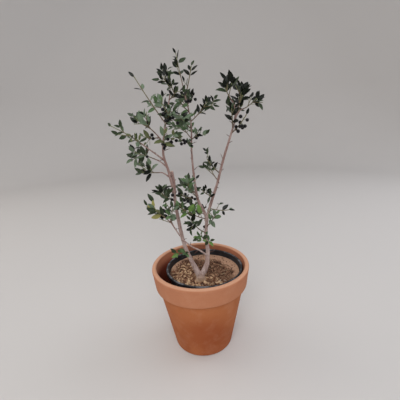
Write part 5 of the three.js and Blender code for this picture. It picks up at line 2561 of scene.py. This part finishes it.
@dataclass(frozen=True)
class BarkRelief:
    """The relief of the bark: ridges along the wood, knobs, and the rings that old leaves left.

    The ridges are finer across the wood than along it. They are full at ridged_radius and grow with
    the wood's radius, and the rings fade on wood over ringed_radius, both inside their limits.
    """

    ridge: float = 0.2
    ridge_width: float = 1.7
    ridge_length: float = 9.0
    ridged_radius: float = 4.5
    ridge_limits: Span = (0.25, 1.3)
    knob: float = 0.05
    knob_size: float = 9.0
    ring_step: float = 27.0
    ring_width: float = 1.3
    ring_height: float = 0.28
    ringed_radius: float = 4.0
    ring_limits: Span = (0.3, 1.0)
    strand_gap: float = 200.0

    def height(self, corners: Array, strands: list[tuple[Array, Array]]) -> Array:
        """Return how far the relief raises the corners of the wood.

        Args:
            corners: The corners.
            strands: The points and radii of every line that the wood follows.

        Returns:
            One height for each corner.
        """
        samples = []
        for number, (points, radii) in enumerate(strands):
            across, up = frames_along(points)
            gone = gone_along(points) + self.strand_gap * number
            samples.append(np.column_stack([points, across, up, np.cross(across, up), gone, radii]))
        table = np.concatenate(samples)
        tree = kdtree.KDTree(len(table))
        for i, row in enumerate(table):
            tree.insert(row[:3], i)
        tree.balance()
        near = table[[tree.find(corner)[1] for corner in corners]]
        away = corners - near[:, :3]
        x, y = (away * near[:, 3:6]).sum(1), (away * near[:, 6:9]).sum(1)
        gone = near[:, 12] + (away * near[:, 9:12]).sum(1)
        radius = near[:, 13]
        grain = np.column_stack([x / self.ridge_width, y / self.ridge_width, gone / self.ridge_length])
        thick = np.clip(radius / self.ridged_radius, *self.ridge_limits)
        ridges = cloudy(grain, 1, layers=3, seed=5) * self.ridge * thick
        knobs = cloudy(np.column_stack([x, y, gone]), self.knob_size, layers=2, seed=9)
        knobs = knobs * self.knob * radius
        phase = (gone % self.ring_step) - self.ring_step / 2
        thin = np.clip(self.ringed_radius / radius, *self.ring_limits)
        rings = np.exp(-(phase / self.ring_width) ** 2) * self.ring_height * thin
        return ridges + knobs + rings


@dataclass
class Wood:
    """The trunk and every limb in one skin of bark, with its relief."""

    lines: dict[str, LimbLine]
    flare: Flare = Flare()
    relief: BarkRelief = BarkRelief()
    arm_foot: float = 18.0
    arm_knee: float = 14.0
    arm_steps: int = 24
    collar: float = 0.4
    collar_length: float = 1.4
    steps_per_span: int = 14
    sides: int = 20
    voxel: float = 0.78
    smoothing: Span = (0.55, -0.57)
    smoothing_rounds: int = 10
    cut_radius: float = 4.2
    cut_depth: float = 0.9
    fine: dict[str, LimbLine] = field(default_factory=dict)

    def fine_lines(self) -> list[tuple[Array, Array]]:
        """Lead a fine line through every limb and through the trunk's two arms.

        Returns:
            The points and the radii of each.
        """
        strands: list[tuple[Array, Array]] = []
        for limb in LIMBS:
            line = LimbLine.through(limb, limb_places(limb, self.lines), self.steps_per_span)
            self.fine[limb.name] = line
            gone = np.linalg.norm(line.points - line.points[0], axis=1)
            collar = self.collar * np.exp(-gone / (self.collar_length * limb.foot))
            strands.append((line.points, line.radii * (1 + collar * bool(limb.parent))))
        root = np.array([*STEM_FOOT, SOIL_HEIGHT + self.flare.height / 2])
        for name in ("left_stem", "centre_stem"):
            line = self.fine[name]
            along = unit(line.points[1] - line.points[0])
            knee, end = line.points[0] - along * self.arm_knee, line.points[0] + along
            points = Shoot(root, knee, end, radius=1, bare=0).line(self.arm_steps)
            radii = np.linspace(self.arm_foot / 2, line.radii[0], len(points))
            strands.append((points, radii))
        return strands

    def union(self, strands: list[tuple[Array, Array]]) -> Object:
        """Join the flare and the limbs into one closed skin.

        Args:
            strands: The points and radii of each line.

        Returns:
            The object.
        """
        skin = Skin()
        self.flare.gather(skin)
        for points, radii in strands:
            skin.tube(points, radii, self.sides)
        obj = skin.object("wood")
        remesh = obj.modifiers.new("union", "REMESH")
        remesh.mode = "VOXEL"
        remesh.voxel_size = self.voxel * MM
        keep_evaluated(obj)
        return obj

    def smoothed(self, mesh: Mesh) -> Array:
        """Smooth out the steps of a mesh and keep its thickness.

        Args:
            mesh: The mesh, which stays as it is.

        Returns:
            Its corners after that.
        """
        corners, ends = corners_of(mesh), edge_ends(mesh)
        first, second = ends.T
        count = np.bincount(ends.ravel(), minlength=len(corners))[:, None]
        for _ in range(self.smoothing_rounds):
            for weight in self.smoothing:
                total = np.zeros_like(corners)
                for axis in range(3):
                    total[:, axis] += np.bincount(first, corners[second, axis], len(corners))
                    total[:, axis] += np.bincount(second, corners[first, axis], len(corners))
                corners = corners + weight * (total / count - corners)
        return corners

    def build(self) -> None:
        """Build and dress the wood, with the cut end of the stub marked."""
        strands = self.fine_lines()
        obj = self.union(strands)
        move_corners(obj.data, self.smoothed(obj.data))
        normals, corners = rows_of(obj.data.vertices, "normal", 3), corners_of(obj.data)
        stub = self.fine["pruned_stub"]
        off_end = corners - stub.points[-1]
        cut = np.linalg.norm(off_end, axis=1) < self.cut_radius
        level = off_end @ stub.end_direction > -self.cut_depth
        move_corners(obj.data, corners + normals * self.relief.height(corners, strands)[:, None])
        hold(obj.data, "cut", "FLOAT", (cut & level).astype(float))
        finish_piece(obj, ["trunk", *self.fine], Bark().material())
        Snags(self.fine).build()


# The leaves, twigs and berries


class Standing:
    """Sets a shape at each point of a mesh, turned and sized as the point says."""

    STRIDE = 7

    def __init__(self) -> None:
        """Build the tree."""
        tree = Shaper("standing")
        self.tree = tree
        wires = {"Primary Axis": tree.held("direction", "FLOAT_VECTOR"),
                 "Secondary Axis": tree.held("face", "FLOAT_VECTOR")}
        turn = tree.out("FunctionNodeAxesToRotation", wires, primary_axis="X", secondary_axis="Z")
        laid = tree.copies(tree.mesh, Instance_Index=tree.held("shape", "INT"), Rotation=turn,
                           Scale=tree.held("size", "FLOAT_VECTOR"))
        upper = tree.dressed(laid, "Upper")
        tree.close(tree.dressed(upper, "Under", Selection=tree.held("under", "BOOLEAN")))

    def stand(self, name: str, rows: Sequence[tuple[Array, Array, Array, Place]], shapes: Collection,
              upper: Material, under: Material) -> Object:
        """Set a shape at each row's place.

        Args:
            name: The new piece's name.
            rows: Each one's place in millimetres, direction, face and size as a factor.
            shapes: The shapes, which take turns.
            upper: The finish of the upper faces.
            under: The finish of the faces underneath.

        Returns:
            The joined piece.
        """
        places, *vectors = (np.array(column) for column in zip(*rows))
        obj = new_object(name, places)
        for key, values in zip(("direction", "face", "size"), vectors):
            hold(obj.data, key, "FLOAT_VECTOR", values)
        hold(obj.data, "shape", "INT", np.arange(len(rows)) * self.STRIDE % len(shapes.objects))
        self.tree.shape(obj, {"Shapes": shapes, "Upper": upper, "Under": under})
        return obj


@dataclass(frozen=True)
class LeafShape:
    """A leaf of unit length along +X, with its upper side to +Z, folded and curled in its own way.

    Each station is how far along the leaf it lies, and its share of the full width.
    """

    fold: float
    curl: float
    sway: float
    wave: float
    width: float = 0.45
    thickness: float = 0.022
    heel: float = 0.12
    arch: float = 0.5
    rib_foot: float = 1.1
    stations: tuple[Span, ...] = ((0.09, 0.09), (0.24, 0.74), (0.46, 1.0), (0.7, 0.8), (0.88, 0.42))

    def build(self, name: str) -> Object:
        """Build the leaf as one closed shell, with the faces underneath marked.

        Args:
            name: The object's name.

        Returns:
            The leaf.
        """
        corners = [(0.0, 0.0, 0.0)]
        spots = [(0.5, 0.0)]
        for number, (along, share) in enumerate(self.stations):
            half = share * self.width / 2
            arch = self.curl * self.arch * along * (1 - along)
            rib_z = self.heel * self.curl - self.curl * along ** 2 + arch
            rib_y = self.sway * along ** 2
            rise, reach = half * math.sin(self.fold), half * math.cos(self.fold)
            ripple = self.wave * share * (-1) ** number
            corners += [(along, rib_y + reach, rib_z + rise + ripple),
                        (along, rib_y, rib_z),
                        (along, rib_y - reach, rib_z + rise - ripple),
                        (along, rib_y, rib_z - self.thickness * (self.rib_foot - along))]
            spots += [(0.5 + share / 2, along), (0.5, along), (0.5 - share / 2, along), (0.5, along)]
        corners.append((1.0, self.sway, -self.curl))
        spots.append((0.5, 1.0))
        left, top, right, below = 1, 2, 3, 4
        tip = len(corners) - 1
        last = 4 * (len(self.stations) - 1)
        upper = [(0, top, left), (0, right, top), (tip, last + left, last + top),
                 (tip, last + top, last + right)]
        under = [(0, left, below), (0, below, right), (tip, last + below, last + left),
                 (tip, last + right, last + below)]
        for k in range(0, last, 4):
            for side, order in ((left, 1), (right, -1)):
                upper += [(k + side, k + top, k + 4 + top)[::order],
                          (k + side, k + 4 + top, k + 4 + side)[::order]]
                under += [(k + below, k + side, k + 4 + below)[::order],
                          (k + side, k + 4 + side, k + 4 + below)[::order]]
        obj = new_object(name, np.array(corners) / MM, upper + under)
        mesh = obj.data
        hold(mesh, "under", "BOOLEAN", np.arange(len(mesh.polygons)) >= len(upper), "FACE")
        chart = mesh.uv_layers.new(name="UVMap")
        loops = rows_of(mesh.loops, "vertex_index", 1, np.int32)
        chart.data.foreach_set("uv", np.array(spots)[loops].ravel())
        self.sharpen_outline(mesh)
        face_outwards(mesh)
        return obj

    def sharpen_outline(self, mesh: Mesh) -> None:
        """Shade a leaf smoothly on each side, with its outline sharp.

        Args:
            mesh: The leaf's mesh. All but its ends, its odd corners are the outline's.
        """
        mesh.shade_smooth()
        on_outline = np.arange(len(mesh.vertices)) % 2 == 1
        on_outline[[0, -1]] = True
        hold(mesh, "sharp_edge", "BOOLEAN", on_outline[edge_ends(mesh)].all(axis=1), "EDGE")


@dataclass(frozen=True)
class BerryShape:
    """A berry of unit radius, slightly drawn out along +X, with a dimple there where its flower was."""

    fineness: int = 3
    drawn: float = 1.05
    dimple: float = 0.16
    dimple_width: float = 0.12

    def build(self, name: str) -> Object:
        """Build the berry, whose faces are all upper ones.

        Args:
            name: The object's name.

        Returns:
            The berry.
        """
        obj = ball(name, 1 / MM, self.fineness)
        for corner in obj.data.vertices:
            dimple = math.exp(-((corner.co.x - 1) / self.dimple_width) ** 2)
            corner.co.x *= self.drawn - self.dimple * dimple
        obj.data.shade_smooth()
        hold(obj.data, "under", "BOOLEAN", np.zeros(len(obj.data.polygons), dtype=bool), "FACE")
        return obj


LEAF_SHAPES = (
    LeafShape(fold=0.12, curl=0.06, sway=0.02, wave=0.006),
    LeafShape(fold=0.22, curl=0.12, sway=-0.04, wave=0.01),
    LeafShape(fold=0.06, curl=0.02, sway=0.03, wave=0.008),
    LeafShape(fold=0.3, curl=0.18, sway=0.04, wave=0.004),
    LeafShape(fold=0.16, curl=-0.05, sway=-0.02, wave=0.01),
    LeafShape(fold=0.36, curl=0.1, sway=0.0, wave=0.008),
)


@dataclass
class Foliage:
    """Everything that grows from the limbs: leaves by tone, twigs and berries."""

    growths: list[Growth]
    sides: int = 6
    ring_step: float = 1.6
    fewest_rings: int = 4
    tip_share: float = 0.62
    swelling: float = 0.35
    swelling_length: float = 1.3
    youth: float = 2.2
    stalk_radii: Span = (0.45, 0.6)
    stalk_sides: int = 5
    fatness: Span = (0.86, 1.1)
    tone_seed: int = 91
    standing: Standing = field(default_factory=Standing)

    def leaves(self) -> None:
        """Build the leaves, one piece for each tone, dealt out by spray."""
        shapes = collected("leaf_shapes", [shape.build(f"leaf_{i}") for i, shape in enumerate(LEAF_SHAPES)])
        random = Seeded(self.tone_seed)
        rows: dict[Tone, list[tuple[Array, Array, Array, Place]]] = {tone: [] for tone in Tone}
        nodes: dict[Tone, set[str]] = {tone: set() for tone in Tone}
        for growth in self.growths:
            tones = growth.spray.tones
            for leaf in growth.leaves:
                tone = tones[int(random.next() * len(tones))]
                size = (leaf.length, leaf.length * random.between(self.fatness), leaf.length)
                rows[tone].append((leaf.root, leaf.direction, leaf.face, tuple(s * MM for s in size)))
                nodes[tone].add(growth.spray.node)
        for tone in Tone:
            upper, under = tone.sides()
            piece = self.standing.stand(f"leaves_{tone.name.lower()}", rows[tone], shapes, upper, under)
            finish_piece(piece, sorted(nodes[tone]))
        discard(shapes)

    def twigs(self) -> None:
        """Build every stem and twig of the sprays, swollen where leaves stand on them."""
        skin = Skin()
        youth: list[Array] = []
        for growth in self.growths:
            for shoot in growth.shoots:
                length = shoot.length()
                steps = max(self.fewest_rings, round(length / self.ring_step))
                line = shoot.line(steps)
                shares = np.arange(steps + 1) / steps
                radii = shoot.radius * (1 + (self.tip_share - 1) * shares)
                for node in set(shoot.nodes):
                    off = (shares - node) * length / self.swelling_length
                    radii = radii * (1 + self.swelling * np.exp(-off ** 2))
                if shoot.at_tip:
                    back = shoot.foot - shoot.tangent(0) * 2 * (COLLAR + CLEARANCE)
                    line = np.concatenate([[back], line])
                    radii = np.concatenate([radii[:1], radii])
                    shares = np.concatenate([[0], shares])
                skin.tube(line, radii, self.sides)
                young = np.clip(shares * (self.youth - shoot.radius), 0, 1)
                youth.append(np.repeat(young, self.sides))
            for berry in growth.berries:
                skin.tube(np.array([berry.foot, berry.centre]), self.stalk_radii, self.stalk_sides)
                youth.append(np.ones(2 * self.stalk_sides))
        obj = skin.object("twigs")
        hold(obj.data, "young", "FLOAT", np.concatenate(youth))
        finish_piece(obj, [spray.node for spray in SPRAYS], TwigSkin().material())

    def berries(self) -> None:
        """Build the berries, each turned with its dimple away from the twig."""
        shapes = collected("berry_shapes", [BerryShape().build("berry")])
        rows = [(berry.centre, berry.side, square_to(berry.side), (berry.radius * MM,) * 3)
                for growth in self.growths for berry in growth.berries]
        skin = BerrySkin().material()
        piece = self.standing.stand("berries", rows, shapes, skin, skin)
        discard(shapes)
        finish_piece(piece, [g.spray.node for g in self.growths if g.berries])

    def build(self) -> None:
        """Build everything that grows."""
        self.leaves()
        self.twigs()
        self.berries()


# The studio


@dataclass(frozen=True)
class Lamp:
    """A soft square light that looks at the middle of the plant."""

    name: str
    place: Place
    width: float
    power: float
    colour: Colour

    def hang(self, target: Place) -> None:
        """Hang the light.

        Args:
            target: The place that it looks at.
        """
        light = bpy.data.lights.new(self.name, "AREA")
        light.size = self.width * MM
        light.energy = self.power
        light.color = self.colour[:3]
        obj = linked(self.name, light)
        obj.location = Vector(self.place) * MM
        obj.rotation_euler = (Vector(target) - Vector(self.place)).to_track_quat("-Z", "Y").to_euler()
        obj.visible_camera = False


@dataclass(frozen=True)
class Studio:
    """A pale floor that curves up far from the plant, soft lights, and the photograph's camera."""

    floor_middle: Span = (1.0, 600.0)
    floor_radius: float = 2700.0
    cove_radius: float = 900.0
    cove_points: int = 17
    wall_height: float = 3800.0
    sides: int = 96
    eye: Place = (0.0, -781.0, 683.0)
    pitch: float = 17.0
    yaw: float = 0.57
    roll: float = -2.8
    lens: float = 27.04
    sensor: float = 36.0
    nearest: float = 10.0
    target: Place = (0.0, 0.0, 430.0)
    sky: Colour = linear("#f2f4f7")
    sky_strength: float = 0.52
    lamps: tuple[Lamp, ...] = (
        Lamp("left_light", (-2300, 900, 1900), 2000, 17, linear("#fff7ee")),
        Lamp("right_light", (2300, 700, 1700), 2000, 20, linear("#f6f8ff")),
        Lamp("front_light", (-300, -2450, 2300), 1900, 58, linear("#ffffff")),
        Lamp("top_light", (0, 200, 2900), 2200, 9, linear("#ffffff")),
    )

    def backdrop(self) -> None:
        """Build the floor and the cove round it as one surface, open at the top."""
        cove = [(self.floor_radius + self.cove_radius * math.sin(a), self.cove_radius * (1 - math.cos(a)))
                for a in np.linspace(0, math.pi / 2, self.cove_points)]
        top = (self.floor_radius + self.cove_radius, self.wall_height)
        profile = [*((radius, 0.0) for radius in self.floor_middle), *cove, top]
        angles = around(self.sides)
        rings = np.array([[(r * math.cos(a), r * math.sin(a), z) for a in angles] for r, z in profile])
        skin = Skin()
        skin.stack(rings)
        skin.faces.pop()
        floor = skin.object("studio_floor")
        floor.data.shade_smooth()
        floor.data.flip_normals()
        floor.data.materials.append(StudioPaint().material())
        floor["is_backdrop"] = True

    def camera(self) -> None:
        """Set the camera where the photograph was taken from."""
        pitch, yaw, roll = (math.radians(angle) for angle in (self.pitch, self.yaw, self.roll))
        level = Vector((math.cos(yaw), -math.sin(yaw), 0.0))
        forward = Vector((math.sin(yaw) * math.cos(pitch), math.cos(yaw) * math.cos(pitch),
                          -math.sin(pitch)))
        upright = level.cross(forward)
        right = level * math.cos(roll) + upright * math.sin(roll)
        up = upright * math.cos(roll) - level * math.sin(roll)
        data = bpy.data.cameras.new("camera")
        data.sensor_width = self.sensor
        data.lens = self.lens
        data.clip_start = self.nearest * MM
        obj = linked("camera", data)
        turn = Matrix((right, up, -forward)).transposed()
        obj.matrix_world = Matrix.Translation(Vector(self.eye) * MM) @ turn.to_4x4()
        bpy.context.scene.camera = obj

    def build(self) -> None:
        """Build the floor, the lights and the camera."""
        self.backdrop()
        for lamp in self.lamps:
            lamp.hang(self.target)
        world = bpy.data.worlds.new("sky")
        world.use_nodes = True
        background = world.node_tree.nodes["Background"]
        background.inputs["Color"].default_value = self.sky
        background.inputs["Strength"].default_value = self.sky_strength
        bpy.context.scene.world = world
        bpy.context.scene.view_settings.view_transform = "Standard"
        self.camera()


def main() -> None:
    """Build and dress every part of the plant, in order."""
    logging.basicConfig(level=logging.INFO, format="%(message)s")
    model_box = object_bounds()
    log.info("model: %d nodes", len(frame["nodes"]))
    Studio().build()
    TerracottaPot().build()
    inner_pot = NurseryPot()
    inner_pot.build()
    soil = Soil(inner_pot)
    soil.dress(soil.build())
    lines = limb_lines()
    Wood(lines).build()
    Foliage(Gardener(lines, model_box).work()).build()


if __name__ == "__main__":
    main()
